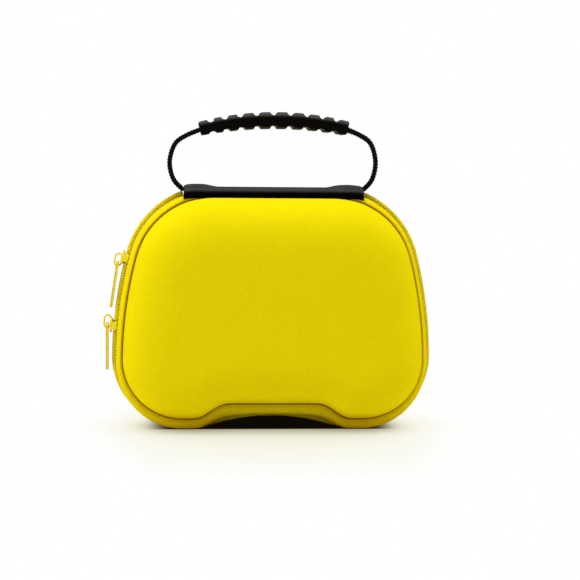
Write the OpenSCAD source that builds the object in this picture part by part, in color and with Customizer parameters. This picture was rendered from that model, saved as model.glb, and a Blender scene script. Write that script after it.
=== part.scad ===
// Zipped hard-shell case for a game controller.
// X is to the right, the lid faces -Y, Z is up. The origin lies on the floor plane, midway between the
// two lobes that the case stands on. The zip line is the plane y = 0, and the hinge is at its top.

/* [Zip line outline] */
// Width across the zip line
case_w = 180; // [170:1:190]
// Height of the zip line at the hinge
rim_h = 136.5; // [130:0.5:144]
// Radius of the two shoulders
shoulder_r = 51; // [46:1:54]
// Radius of the long curves of the sides
side_r = 240; // [210:5:300]
// Height at which the case is widest
widest_z = 37; // [32:1:40]
// Radius of the two lower lobes
lobe_r = 40; // [36:1:44]
// Length of the flat that each lobe stands on
foot_l = 8; // [5:1:12]
// Height of the zip line in the arch between the lobes
arch_h = 6; // [4:0.5:9]

/* [Shells] */
// Depth of the closed case over both domes
case_d = 75; // [68:1:84]
// Thickness of the moulded board
wall = 4; // [3:0.25:5]
// Thickness of the rolled lip beside the zip
lip_t = 0.9; // [0.8:0.1:1.2]
// Distance of the lip's edge from the middle plane
lip_y = 3.6; // [3.4:0.1:4]
// Depth of the lip's edge below the zip line
lip_sink = 2.6; // [2.4:0.1:2.8]
// Distance of the groove from the middle plane
groove_y = 14.5; // [13.5:0.5:16]
// Depth of the groove below the zip line
groove_sink = 6.2; // [5.8:0.2:7]
// How much deeper the groove lies along the top, under the spine's edges
top_dip = 1.5; // [0:0.1:2]
// Depth below the zip line at which the dome starts
dome_sink = 5.5; // [5.2:0.1:5.7]
// Width of the dome's rounded edge
dome_run = 30; // [26:1:32]
// Exponent of the dome's rounded edge, 2 is a quarter ellipse
dome_n = 2.4; // [2:0.1:3]
// Rise of the dome's middle over its edge
crown = 1; // [0.5:0.25:2]
// Height of the groove where the lid is pinched in over the arch
waist_z = 14.3; // [12.5:0.1:16]
// Half the straight length of the pinch
waist_in = 24; // [18:1:30]
// Half the whole length of the pinch
waist_out = 44; // [38:1:48]

/* [Zip] */
// Height of the tooth rows
coil_h = 2.6; // [2.4:0.1:2.7]
// Half the gap between the two tooth rows
zip_gap = 0.5; // [0.5:0.05:0.6]
// Distance of a tooth row's outer edge from the middle plane
coil_y = 2.9; // [2.7:0.1:3]
// Thickness of the zip tape
tape_t = 0.5; // [0.4:0.05:0.6]
// Distance of the tape's inner edge from the middle plane
tape_y = 12; // [11.5:0.25:12.25]
// Half the distance between the two ends of the tooth rows, across the hinge
zip_start = 55; // [53:1:58]

/* [Sliders] */
// Length of a slider along the zip
slider_l = 8; // [7:0.2:10]
// Width of a slider across the zip
slider_w = 8.4; // [7.6:0.2:9]
// Thickness of a slider's outer plate
plate_t = 1.2; // [1:0.1:1.3]
// How far a slider's flanges reach down beside the tooth rows
flange_h = 2; // [1.5:0.1:2.2]
// Thickness of a slider's inner plate
floor_t = 1; // [0.8:0.1:1.2]
// Height of the lower slider's middle
low_slider_z = 57.3; // [55:0.1:58]
// Height of the upper slider's middle
high_slider_z = 95.4; // [92:0.1:97]
// How far a slider's bridge stands out of the zip line
bridge_h = 5.8; // [5.6:0.1:6.4]
// Length of a bridge along the zip
bridge_l = 7.8; // [7.4:0.2:9]
// Width of a bridge across the zip
bridge_w = 2.2; // [1.8:0.1:2.4]
// Thickness of a bridge's loop
loop_t = 1; // [0.8:0.1:1.1]
// How far a bridge is set towards the slider's mouth
bridge_shift = 1.9; // [1.4:0.1:2.2]
// Length of a pull tab
pull_l = 26; // [20:1:26]
// Width of a pull tab
pull_w = 7; // [6.4:0.2:8]
// Thickness of a pull tab
pull_t = 1.4; // [1:0.1:1.6]
// Radius of a pull tab's cross pin
pin_r = 0.8; // [0.6:0.1:0.9]
// Gap between the upper pull tab's tip and the zip line that it lies against
high_pull_gap = 1.6; // [1.4:0.1:2.4]

/* [Spine and handle] */
// Length of the fabric spine along the hinge
spine_l = 100; // [94:2:104]
// Thickness of the spine's fabric
spine_t = 1.1; // [0.9:0.1:1.2]
// Width of the handle's webbing
strap_w = 18; // [16:1:19]
// Thickness of the webbing
strap_t = 2.9; // [2:0.1:3]
// Thickness of the webbing's ends, pressed flat under the spine
tongue_t = 1; // [0.9:0.1:1.2]
// How far each end of the webbing reaches under the spine
tongue_l = 12; // [10:1:14]
// How far the handle's loop bulges past the ends of the spine
loop_bulge = 7.8; // [7:0.2:11]
// Height of the loop's widest place above the hinge
loop_rise = 12.8; // [11:0.2:14]
// Height of the middle of the grip
grip_z = 172; // [170:0.5:180]
// Half the length of the grip
grip_reach = 41; // [40:1:44]
// Radius of the grip's bow
grip_r = 170; // [150:5:200]
// Thickness of the grip over its ribs
grip_t = 9.2; // [8.6:0.2:10]
// Width of the grip
grip_w = 22; // [21.5:0.5:23]
// Depth of the notches between the ribs
notch_d = 1.8; // [1.2:0.1:2]
// Radius of the scallop that cuts a notch
notch_r = 2.2; // [2:0.1:3]
// Number of ribs on each side of the grip
ribs = 10; // [8:1:12]

/* [Inside] */
// How far the mesh pocket's open edge rises over its corners
pocket_rise = 3; // [0:1:8]
// Distance of the pocket's middle from the middle plane
pocket_y = 26; // [22:1:28]
// Thickness of the mesh
mesh_t = 0.6; // [0.5:0.1:0.8]
// Diameter of the pocket's elastic hem
hem_d = 3; // [2.4:0.2:3.6]
// Height of the middle of the hold-down straps
hold_z = 70; // [62:1:78]
// Width of the hold-down straps
hold_w = 25; // [20:1:30]
// Thickness of the hold-down straps
hold_t = 1.2; // [1:0.1:1.5]
// Distance of the hold-down straps' sewn ends from the dome's rounded edge
hold_inset = 6.5; // [5:0.5:12]
// Length of the hook and loop patches
patch_l = 24; // [20:1:30]
// Thickness of the hook and loop patches
patch_t = 0.8; // [0.6:0.1:1]

/* [Hidden] */
$fn = 48;
fabric_yellow = [0.93, 0.84, 0.04];
zip_yellow = [0.86, 0.76, 0.05];
metal_yellow = [0.9, 0.8, 0.08];
webbing_black = [0.06, 0.055, 0.05];
rubber_black = [0.1, 0.1, 0.1];
lining_grey = [0.16, 0.16, 0.17];

// Gap between parts of one body that lie on each other
seat = 0.25;
// Gap between parts that move on each other
play = 0.5;

// Centres and angles of the outline's tangent arcs
side_x = case_w / 2 - side_r;
shoulder_z = rim_h - shoulder_r;
shoulder_x = side_x + sqrt(pow(side_r - shoulder_r, 2) - pow(shoulder_z - widest_z, 2));
lobe_x = side_x + sqrt(pow(side_r - lobe_r, 2) - pow(lobe_r - widest_z, 2));
shoulder_a = atan2(shoulder_z - widest_z, shoulder_x - side_x);
lobe_a = atan2(lobe_r - widest_z, lobe_x - side_x);
inner_lobe_x = lobe_x - foot_l;
arch_r = (pow(inner_lobe_x, 2) + pow(lobe_r - arch_h, 2) - pow(lobe_r, 2)) / (2 * arch_h);
arch_z = arch_h - arch_r;
arch_a = atan2(lobe_r - arch_z, inner_lobe_x);
spine_a = acos((spine_l / 2 - shoulder_x) / shoulder_r);
zip_a = acos((zip_start - shoulder_x) / shoulder_r);

// A station of the outline is [x, z, nx, nz], with the normal pointing into the case.
// Turn is 1 on a bulge and -1 in a hollow. The arc's first station is left out.
function arc(cx, cz, r, a0, a1, n, turn = 1) = [
  for (j = [1 : n])
    let (a = a0 + (a1 - a0) * j / n)
      [cx + r * cos(a), cz + r * sin(a), -turn * cos(a), -turn * sin(a)]
];
function mirrored(s) = [-s[0], s[1], -s[2], s[3]];
top_n = 3;
right_half = concat(
  [for (j = [0 : top_n]) [shoulder_x * j / top_n, rim_h, 0, -1]],
  arc(shoulder_x, shoulder_z, shoulder_r, 90, spine_a, 3),
  arc(shoulder_x, shoulder_z, shoulder_r, spine_a, zip_a, 1),
  arc(shoulder_x, shoulder_z, shoulder_r, zip_a, shoulder_a, 6),
  arc(side_x, widest_z, side_r, shoulder_a, lobe_a, 5),
  arc(lobe_x, lobe_r, lobe_r, lobe_a, -90, 9),
  [[inner_lobe_x, 0, 0, 1]],
  arc(inner_lobe_x, lobe_r, lobe_r, -90, -180 + arch_a, 2),
  arc(0, arch_z, arch_r, arch_a, 90, 5, -1)
);
half_n = len(right_half) - 1;
rim = concat(right_half, [for (j = [half_n - 1 : -1 : 1]) mirrored(right_half[j])]);
spine_end = top_n + 3;
zip_end = spine_end + 1;
// Stations from the right end of the spine or zip, round the bottom, to the left end
zip_run = [for (j = [zip_end : len(rim) - zip_end]) rim[j]];
tape_run = [for (j = [spine_end : len(rim) - spine_end]) rim[j]];

// A section point is [sink, y, drop, pinch]: its depth below the zip line, its distance from the middle
// plane, how far it is let down at the bottom so that the lips stand on the floor, and how far it
// follows the straight pinch over the arch. In the arch the lips stay a little above the tooth rows.
function smooth(t) = let (u = max(0, min(1, t))) u * u * (3 - 2 * u);
function waist_share(s, x) = s[3] > 0 ? smooth((waist_out - abs(x)) / (waist_out - waist_in)) : 0;
function waist_height(p) = waist_z + (p[0] - p[2]) - (groove_sink - groove_drop);
function let_down(s) = s[3] > 0 ? 1 - smooth((inner_lobe_x - abs(s[0])) / 16) : 1;
function dropped(s, p, z) = z - p[2] * let_down(s) * (1 - z / rim_h) / (1 - p[0] / rim_h);
// Along the hinge the groove and what lies in it dip, down to the spine's edges.
function dipped(s, p) = top_dip * p[3] * smooth((-s[3] - 0.93) / 0.07);
// The crown lifts the dome's middle, and fades out towards its edge
function crown_at(x, z) =
  let (u = norm([x / (case_w / 2 - dome_sink), (z - dome_mid_z) / (rim_h / 2 - dome_sink)]))
    u < 1 ? crown * pow(1 - u * u, 2) : 0;
function on_case(s, p) =
  let (x = s[0] + p[0] * s[2])
    let (z = dropped(s, p, s[1] + p[0] * s[3]) - dipped(s, p))
      let (share = waist_share(s, x) * p[3])
        let (z_in = share == 0 ? z : z + (waist_height(p) - z) * share)
          [x, p[1] + crown_at(x, z_in) * max(0, (p[1] - dome_y) / dome_rise), z_in];
function ring(stations, p) = [for (s = stations) on_case(s, p)];

// The dome's edge is a quarter of a superellipse. Its section point at angle a lies inset by the wall t.
dome_rise = case_d / 2 - crown - groove_y - 1;
dome_y = groove_y + 1;
dome_mid_z = (rim_h + arch_h) / 2;
groove_drop = 0.4;
function bend(v) = pow(v, 2 / dome_n);
function dome_point(a, t) =
  let (in = dome_sink + (dome_run - t / 2) * (1 - bend(cos(a))))
    [
      in + t,
      dome_y + (dome_rise - t) * bend(sin(a)),
      groove_drop + 0.15 * (in - dome_sink),
      1 - 0.6 * (1 - bend(cos(a)))
    ];
lip_edge = [lip_sink, lip_y, lip_sink, 0];
lip_foot = [lip_sink + 0.3, 8.5, lip_sink + 0.3, 0.15];
lip_back = [lip_sink + 1.2, groove_y - 1.1, lip_sink + 0.2, 0.75];
groove = [groove_sink, groove_y, groove_drop, 1];
outer_section = concat(
  [lip_edge, lip_foot, lip_back, groove, [dome_sink, dome_y, groove_drop, 1]],
  [for (a = [18, 34, 50, 64, 77, 90]) dome_point(a, 0)]
);
lip_root = [groove_sink - 0.2, tape_y + 0.2, lip_sink - 1, 0.7];
inner_section = concat(
  [[lip_sink + lip_t, lip_y, lip_sink, 0], lip_root],
  [[dome_sink + wall, groove_y + 0.5, groove_drop, 1]],
  [for (a = [16, 38, 62, 90]) dome_point(a, wall)]
);

// Surfaces: a stack of closed rings with a pole at each end, a band round the whole rim, and a bar
// along part of it. Faces run clockwise seen from outside.
module ring_stack(first_pole, rings, last_pole) {
  n = len(rings[0]);
  last = len(rings) - 1;
  points = concat([first_pole], [for (r = rings) for (p = r) p], [last_pole]);
  first_fan = [for (j = [0 : n - 1]) [0, 1 + (j + 1) % n, 1 + j]];
  last_fan = [for (j = [0 : n - 1]) [len(points) - 1, 1 + last * n + j, 1 + last * n + (j + 1) % n]];
  sides = [
    for (r = [0 : last - 1]) for (j = [0 : n - 1])
      let (a = 1 + r * n + j, b = 1 + r * n + (j + 1) % n)
        each [[a, b, b + n], [a, b + n, a + n]]
  ];
  polyhedron(points, concat(first_fan, sides, last_fan));
}
// Section rows: one list of points for each station, all of the same length, closed on themselves. The
// ends are closed by strips of triangles between a section's two faces.
function zigzag(i, m) = i % 2 == 0 ? i / 2 : m - (i + 1) / 2;
module bar(rows, closed = false) {
  m = len(rows[0]);
  n = len(rows);
  points = [for (r = rows) for (p = r) p];
  steps = closed ? n - 1 : n - 2;
  sides = [
    for (r = [0 : steps]) for (j = [0 : m - 1])
      let (k = (j + 1) % m, s = (r + 1) % n)
        each [[r * m + j, s * m + j, s * m + k], [r * m + j, s * m + k, r * m + k]]
  ];
  first_cap = [
    for (i = [0 : m - 3])
      let (a = zigzag(i, m), b = zigzag(i + 1, m), c = zigzag(i + 2, m)) i % 2 == 0 ? [a, c, b] : [a, b, c]
  ];
  last_cap = [for (t = first_cap) [for (v = [t[0], t[2], t[1]]) (n - 1) * m + v]];
  polyhedron(points, closed ? sides : concat(sides, first_cap, last_cap));
}
function rows_along(stations, section) = [for (s = stations) [for (p = section) on_case(s, p)]];

// The back half of the case is drawn, and the lid is its mirror image.
function on_crown(points, share, depth) = [
  for (p = points)
    let (x = p[0] * share, z = dome_mid_z + (p[2] - dome_mid_z) * share)
      [x, case_d / 2 - depth - crown + crown_at(x, z), z]
];
module half_shell() {
  outer = [for (p = outer_section) ring(rim, p)];
  inner = [for (p = inner_section) ring(rim, p)];
  edge = outer[len(outer) - 1];
  lining = inner[len(inner) - 1];
  ring_stack(
    [0, case_d / 2, dome_mid_z],
    concat(
      [on_crown(edge, 0.55, 0)],
      [for (j = [len(outer) - 1 : -1 : 0]) outer[j]],
      inner,
      [on_crown(lining, 0.5, wall)]
    ),
    [0, case_d / 2 - wall, dome_mid_z]
  );
}
module back_shell() color(fabric_yellow) half_shell();
module front_shell() color(fabric_yellow) mirror([0, 1, 0]) half_shell();

// Zip tape: from under the tooth row, sloping in under the lip
tape_top = coil_h + seat;
tape_slope = [lip_root[0] + 0.6, tape_y, lip_root[2], lip_root[3]];
tape_section = [
  [tape_top, 2 * zip_gap, 0, 0],
  tape_slope,
  tape_slope + [tape_t, 0, 0, 0],
  [tape_top + tape_t, 2 * zip_gap, 0, 0]
];
module zip_tape() color(zip_yellow) bar(rows_along(tape_run, tape_section));
module back_zip_tape() zip_tape();
module front_zip_tape() mirror([0, 1, 0]) zip_tape();

// Tooth row: a rounded bead on the tape
coil_section = [
  [0, 2 * zip_gap, 0, 0],
  [0, coil_y - zip_gap, 0, 0],
  [coil_h / 2, coil_y, 0, 0],
  [coil_h, coil_y - zip_gap, 0, 0],
  [coil_h, zip_gap, 0, 0]
];
module zip_coil() color(zip_yellow) bar(rows_along(zip_run, coil_section));
module back_zip_coil() zip_coil();
module front_zip_coil() mirror([0, 1, 0]) zip_coil();

// Binding: the bead of tape sewn over the inner edges of the zip tape and the lining
binding_w = 1.5;
binding_edge = [lip_root[0] + 0.7, lip_root[1] - 2, lip_root[2] - 0.7, 0.7];
binding_root = [lip_root[0] + 2, lip_root[1] + 1.4, lip_root[2] - 0.9, 0.9];
binding_section = [
  binding_edge, binding_root, binding_root + [binding_w, 0, 0, 0], binding_edge + [binding_w, 0, 0, 0]
];
module binding() color(lining_grey) bar(rows_along(rim, binding_section), true);
module back_binding() binding();
module front_binding() mirror([0, 1, 0]) binding();

// Spine: black fabric over both lips, raised where the webbing's ends are sewn under it
function top_station(x) =
  abs(x) <= shoulder_x
    ? [x, rim_h, 0, -1]
    : let (a = acos((abs(x) - shoulder_x) / shoulder_r), side = sign(x))
        [x, shoulder_z + shoulder_r * sin(a), -side * cos(a), -sin(a)];
spine_half = spine_l / 2;
spine_in = lip_sink - seat;
// Depths of the spine's two faces where the webbing's ends raise it
raised_in = spine_in - tongue_t - 0.2;
raised_out = raised_in - spine_t;
function raise_share(x, y) =
  smooth((abs(x) - spine_half + tongue_l + 8) / 8) * smooth((strap_w / 2 + 4 - abs(y)) / 3);
function raised(p, x, depth) = [p[0] + (depth - p[0]) * raise_share(x, p[1]), p[1], 0, p[2]];
// Points of the spine's section: depth, distance from the middle plane, and share of the groove's dip
spine_outer = [
  [groove_sink - 0.6, groove_y + 0.65, 1], [groove_sink - 1.8, groove_y + 0.5, 0.8],
  [lip_back[0] - 1.5, lip_back[1] + 0.4, 0.3], [lip_foot[0] - 1.5, 10, 0],
  [spine_in - spine_t, 6, 0], [spine_in - spine_t, 0, 0]
];
spine_inner = [
  [groove_sink - 0.6, groove_y - 0.15, 1], [groove_sink - 1.5, groove_y - 0.45, 0.85],
  [lip_back[0] - 0.4, lip_back[1] + 0.1, 0.5], [lip_foot[0] - 0.3, 10, 0.1],
  [spine_in, 6, 0], [spine_in, 0, 0]
];
function both_sides(half) = concat(
  [for (p = half) [p[0], -p[1], p[2]]],
  [for (j = [len(half) - 2 : -1 : 0]) half[j]]
);
function reversed(list) = [for (j = [len(list) - 1 : -1 : 0]) list[j]];
spine_n = 25;
module hinge_spine() color(webbing_black) bar([
  for (j = [0 : spine_n])
    let (x = -spine_half + spine_l * j / spine_n, s = top_station(x))
      concat(
        [for (p = both_sides(spine_outer)) on_case(s, raised(p, x, raised_out))],
        [for (p = reversed(both_sides(spine_inner))) on_case(s, raised(p, x, raised_in))]
      )
]);

// Webbing: one length from under one end of the spine, through the grip, to the other end
grip_cz = grip_z - grip_r;
grip_a = asin(grip_reach / grip_r);
grip_end = [grip_reach, grip_cz + grip_r * cos(grip_a)];
tongue_sink = spine_in - tongue_t / 2;
function tongue_point(x) = let (s = top_station(x)) [s[0] + tongue_sink * s[2], s[1] + tongue_sink * s[3]];
tongue_root = spine_half - tongue_l;
loop_points = [
  tongue_point(tongue_root), tongue_point(spine_half - tongue_l / 2), tongue_point(spine_half - 0.5),
  [spine_half + 0.37 * loop_bulge, rim_h - 0.16 * loop_rise],
  [spine_half + 0.76 * loop_bulge, rim_h + 0.27 * loop_rise],
  [spine_half + loop_bulge, rim_h + loop_rise],
  [spine_half + 0.63 * loop_bulge, (rim_h + loop_rise) * 0.45 + grip_end[1] * 0.55],
  [(spine_half + grip_reach) / 2 + 3.4, grip_end[1] - strap_t - 0.4],
  grip_end
];
function between(p0, p1, p2, p3, t) =
  0.5 * (2 * p1 + (p2 - p0) * t + (2 * p0 - 5 * p1 + 4 * p2 - p3) * t * t
  + (3 * p1 - p0 - 3 * p2 + p3) * t * t * t);
function curve_through(k, steps) = [
  for (j = [0 : len(k) - 2]) for (i = [0 : steps - 1])
    between(k[max(j - 1, 0)], k[j], k[j + 1], k[min(j + 2, len(k) - 1)], i / steps)
];
right_loop = curve_through(loop_points, 4);
grip_steps = 8;
grip_arc = [
  for (j = [0 : grip_steps])
    let (a = grip_a * (1 - 2 * j / grip_steps)) [grip_r * sin(a), grip_cz + grip_r * cos(a)]
];
webbing_path = concat(right_loop, grip_arc, [for (p = reversed(right_loop)) [-p[0], p[1]]]);
function unit(v) = v / norm(v);
function path_normal(path, j) =
  let (d = unit(path[min(j + 1, len(path) - 1)] - path[max(j - 1, 0)])) [-d[1], d[0]];
function webbing_thickness(p) =
  tongue_t + (strap_t - tongue_t) * smooth((abs(p[0]) - spine_half) / 4 + (p[1] - rim_h) / 4);
module handle_webbing() color(webbing_black) bar([
  for (j = [0 : len(webbing_path) - 1])
    let (p = webbing_path[j], n = path_normal(webbing_path, j) * webbing_thickness(p) / 2)
      [
        [p[0] + n[0], -strap_w / 2, p[1] + n[1]], [p[0] - n[0], -strap_w / 2, p[1] - n[1]],
        [p[0] - n[0], strap_w / 2, p[1] - n[1]], [p[0] + n[0], strap_w / 2, p[1] + n[1]]
      ]
]);

// Grip: a bowed rubber sleeve, scalloped into ribs above and below, with a slot for the webbing
module round_rect(w, h, r) {
  square([w - 2 * r, h], center = true);
  square([w, h - 2 * r], center = true);
  for (x = [-1, 1], y = [-1, 1]) translate([x * (w / 2 - r), y * (h / 2 - r)]) circle(r);
}
module bow(w, t, r, over = 0) {
  sweep = 2 * (grip_a + over);
  rotate([90, 0, 0]) rotate([0, 0, 90 - sweep / 2]) rotate_extrude(angle = sweep, $fn = 180)
    translate([grip_r, 0]) round_rect(t, w, r);
}
module handle_grip() color(rubber_black) translate([0, 0, grip_cz]) difference() {
  bow(grip_w, grip_t, 2);
  bow(strap_w + 2 * seat, strap_t + 2 * seat, 0.6, 1);
  for (j = [1 : ribs - 1], side = [-1, 1])
    let (a = grip_a * notch_place(j), r = grip_r + side * (grip_t / 2 - notch_d + notch_r))
      rotate([0, a, 0]) translate([0, 0, r]) rotate([90, 0, 0])
        cylinder(r = notch_r, h = grip_w + 2, center = true);
}
// The ribs are a little wider in the middle of the grip than at its ends
function notch_place(j) = let (u = 2 * j / ribs - 1) u * (1.12 - 0.12 * u * u);

// Sliders: two plates and a post, drawn on the right side of the case with the zip line at x = 0 and
// the mouth at the top
slider_top = play;
floor_w = slider_w - 1.6;
function tape_rise(y) = (tape_slope[0] - tape_top) * (y - 2 * zip_gap) / (tape_y - 2 * zip_gap);
slider_floor = tape_top + tape_t + tape_rise(floor_w / 2) + play;
flange_t = 0.8;
hole_in = slider_top + plate_t;
hole_out = bridge_h - loop_t;
pin_x = (hole_in + hole_out) / 2 + 0.1;
// A pull's pin hangs at the lower end of its bridge's hole. The mouth is up at 1 and down at -1.
function pin_z(mouth) = mouth * bridge_shift - bridge_l / 2 + loop_t + 0.3 + pin_r;
module slider() color(metal_yellow) {
  post_l = 1.8;
  difference() {
    union() {
      plate(slider_top, slider_w, plate_t);
      for (side = [0, 1]) mirror([0, side, 0]) translate([-flange_h, slider_w / 2 - flange_t, 0])
        flange(flange_h + slider_top + 0.1);
      loop(hole_in - plate_t / 2, bridge_h, bridge_l, bridge_w, 2.6);
    }
    loop(hole_in, hole_out, bridge_l - 2 * loop_t, 2 * bridge_w, 1.2);
  }
  plate(-slider_floor - floor_t, floor_w, floor_t);
  translate([-slider_floor - 0.1, -0.6 * zip_gap, slider_l / 2 - post_l - 0.6])
    cube([slider_floor + slider_top + 0.2, 1.2 * zip_gap, post_l]);
}
module flange(h) {
  flange_l = slider_l - 3.4;
  translate([0, 0, -flange_l / 2]) cube([h, flange_t, flange_l]);
}
module plate(x, w, t) {
  translate([x, 0, 0]) rotate([90, 0, 90]) linear_extrude(t) round_rect(w, slider_l, 2.2);
}
module loop(x0, x1, l, w, r) {
  translate([(x0 + x1) / 2, w / 2, bridge_shift]) rotate([90, 0, 0]) linear_extrude(w)
    round_rect(x1 - x0, l, min(r, (x1 - x0) / 2 - 0.05));
}
// Pull tab: a cross pin in the bridge's hole, two arms beside the bridge, and a blade
module pull() color(metal_yellow) {
  slot_l = bridge_l - 1.4;
  arm_in = bridge_w / 2 + play;
  rotate([90, 0, 0]) cylinder(r = pin_r, h = pull_w - 0.6, center = true);
  difference() {
    translate([-pull_t / 2, 0, pin_r - pull_l / 2]) rotate([90, 0, 90]) linear_extrude(pull_t)
      round_rect(pull_w, pull_l, 1.4);
    translate([-pull_t, -arm_in, -slot_l]) cube([2 * pull_t, 2 * arm_in, slot_l + 2 * pin_r]);
  }
}
// Places on the left side of the zip line, at an angle on a circle round a centre
module on_left(cx, cz, r, a) mirror([1, 0, 0]) translate([cx, 0, cz]) rotate([0, -a, 0]) translate([r, 0, 0])
  children();
// The circle of the zip line at a height: its centre, its radius, and the height's angle on it
join_z = shoulder_z + shoulder_r * sin(shoulder_a);
function zip_circle(z) =
  z > join_z
    ? [shoulder_x, shoulder_z, shoulder_r, asin((z - shoulder_z) / shoulder_r)]
    : [side_x, widest_z, side_r, asin((z - widest_z) / side_r)];
function zip_x(z) = let (c = zip_circle(z)) c[0] + c[2] * cos(c[3]);
low = zip_circle(low_slider_z);
high = zip_circle(high_slider_z);
// The upper pull tab hangs from its pin with its tip a little outside the zip line
high_pin = [
  high[0] + (high[2] + pin_x) * cos(high[3]) - pin_z(-1) * sin(high[3]),
  high[1] + (high[2] + pin_x) * sin(high[3]) + pin_z(-1) * cos(high[3])
];
blade_l = pull_l - 2 * pin_r;
high_pull_lean = asin((zip_x(high_pin[1] - blade_l) + high_pull_gap + pull_t / 2 - high_pin[0]) / blade_l);
module on_low() on_left(low[0], low[1], low[2], low[3]) children();
module on_high() on_left(high[0], high[1], high[2], high[3]) children();
module lower_slider() on_low() slider();
module upper_slider() on_high() mirror([0, 0, 1]) slider();
module lower_pull() on_low() translate([pin_x, 0, pin_z(1)]) rotate([0, low[3], 0]) pull();
module upper_pull() on_high() translate([pin_x, 0, pin_z(-1)]) rotate([0, high[3] - high_pull_lean, 0])
  pull();

// Mesh pocket in the lid: from the binding inwards to a straight open edge
pocket_edge = [binding_root[0] + 1.9, binding_root[1] + 0.6, binding_root[2], 1];
pocket_first = zip_end + 7;
pocket_run = [for (j = [pocket_first : len(rim) - pocket_first]) rim[j]];
pocket_n = len(pocket_run) - 1;
pocket_corner = on_case(pocket_run[0], pocket_edge);
pocket_z = pocket_corner[2] + pocket_rise;
hem_half = pocket_corner[0] - 5;
pocket_bands = 5;
function pocket_point(j, t, t_in) =
  let (p = on_case(pocket_run[j], pocket_edge), hem = [hem_half * (1 - 2 * j / pocket_n), 0, pocket_z])
    let (sag = 1 - pow(1 - min(1, norm([hem[0] - p[0], hem[2] - p[2]]) * t / 28), 2))
      [
        p[0] + (hem[0] - p[0]) * t,
        -(pocket_edge[1] + (pocket_y - pocket_edge[1]) * sag) + t_in,
        p[2] + (hem[2] - p[2]) * t
      ];
module mesh_pocket() color([0.1, 0.1, 0.1]) bar([
  for (j = [0 : pocket_n])
    concat(
      [for (i = [0 : pocket_bands]) pocket_point(j, i / pocket_bands, mesh_t)],
      [for (i = [pocket_bands : -1 : 0]) pocket_point(j, i / pocket_bands, 0)]
    )
]);
// Elastic hem along the pocket's open edge
module pocket_hem() color(webbing_black) bar([
  for (j = [0 : 2 : pocket_n])
    let (p = pocket_point(j, 1, mesh_t / 2))
      [for (a = [0 : 60 : 300]) p + [0, hem_d / 2 * cos(a), hem_d / 2 * (1 + sin(a)) + seat]]
]);

// Hold-down straps lie on the lining of the base, one end sewn down, closed with hook and loop
lining_y = case_d / 2 - wall - crown - seat;
lap = patch_l / 2 + 4;
hold_reach = case_w / 2 - dome_sink - dome_run - wall - hold_inset;
sewn_l = 8;
// A strap's outer face is at y on its lap, and its sewn end lies on the lining
module hold_strap(side, y) color(webbing_black) {
  outer = [[hold_reach, lining_y], [hold_reach - sewn_l, lining_y], [lap + 1, y], [-lap, y]];
  inner = [for (p = reversed(outer)) p - [0, hold_t]];
  translate([0, 0, hold_z - hold_w / 2]) linear_extrude(hold_w)
    polygon([for (p = concat(outer, inner)) [side * p[0], p[1]]]);
}
module patch(y) color(lining_grey) translate([0, y, hold_z]) rotate([90, 0, 0])
  linear_extrude(patch_t) round_rect(patch_l, hold_w - 3, 1.5);
loop_y = lining_y - hold_t;
hook_y = loop_y - patch_t;
module hold_strap_left() hold_strap(-1, lining_y);
module loop_patch() patch(loop_y);
module hook_patch() patch(hook_y);
module hold_strap_right() hold_strap(1, hook_y - patch_t);

back_shell();
front_shell();
back_zip_tape();
front_zip_tape();
back_zip_coil();
front_zip_coil();
back_binding();
front_binding();
hinge_spine();
handle_webbing();
handle_grip();
lower_slider();
lower_pull();
upper_slider();
upper_pull();
mesh_pocket();
pocket_hem();
hold_strap_left();
hold_strap_right();
hook_patch();
loop_patch();
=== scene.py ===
"""Looks of the zipped hard-shell case for a game controller.

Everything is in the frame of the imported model: X to the right, the lid faces -Y, Z up, the zip line in the
plane y = 0. The shapes are worked out in millimetres and become metres when a mesh is made.
"""

import math

import bmesh
import bpy
from mathutils import Matrix, Vector


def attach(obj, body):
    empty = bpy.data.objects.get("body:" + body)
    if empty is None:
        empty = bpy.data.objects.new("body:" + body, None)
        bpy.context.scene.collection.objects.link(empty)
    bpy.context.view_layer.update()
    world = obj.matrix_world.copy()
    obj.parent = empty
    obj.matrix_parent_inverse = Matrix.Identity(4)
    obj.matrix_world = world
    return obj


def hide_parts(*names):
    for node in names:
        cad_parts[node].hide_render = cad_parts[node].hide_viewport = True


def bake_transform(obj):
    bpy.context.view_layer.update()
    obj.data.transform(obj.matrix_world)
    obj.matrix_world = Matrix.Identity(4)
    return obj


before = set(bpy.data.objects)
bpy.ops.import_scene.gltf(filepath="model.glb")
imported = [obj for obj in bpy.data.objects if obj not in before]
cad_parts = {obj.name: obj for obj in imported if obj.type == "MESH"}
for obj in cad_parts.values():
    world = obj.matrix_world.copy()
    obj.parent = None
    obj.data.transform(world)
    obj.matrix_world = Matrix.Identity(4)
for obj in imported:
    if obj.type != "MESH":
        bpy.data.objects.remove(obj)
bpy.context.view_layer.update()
MM = 0.001

# Zip line outline
CASE_W = 180
RIM_H = 136.5
SHOULDER_R = 51
SIDE_R = 240
WIDEST_Z = 37
LOBE_R = 40
FOOT_L = 8
ARCH_H = 6

# Shells
CASE_D = 75
WALL = 4
LIP_T = 0.9
LIP_Y = 3.6
LIP_SINK = 2.6
GROOVE_Y = 14.5
GROOVE_SINK = 6.2
GROOVE_DROP = 0.4
TOP_DIP = 1.5
DOME_SINK = 6.8
DOME_DROP = -0.4
DOME_RUN = 30
DOME_N = 2.4
EDGE_A = 70
CROWN = 1
CROWN_HALF = 36
WAIST_Z = 14.3
WAIST_IN = 24
WAIST_OUT = 44

# Zip
COIL_H = 2.6
COIL_Y = 2.9
TAPE_T = 0.5
TAPE_Y = 12
TOOTH_PITCH = 1.5
TOOTH_W = 0.95
TOOTH_REACH = 0.42
TOOTH_SLANT = 0.22

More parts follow.
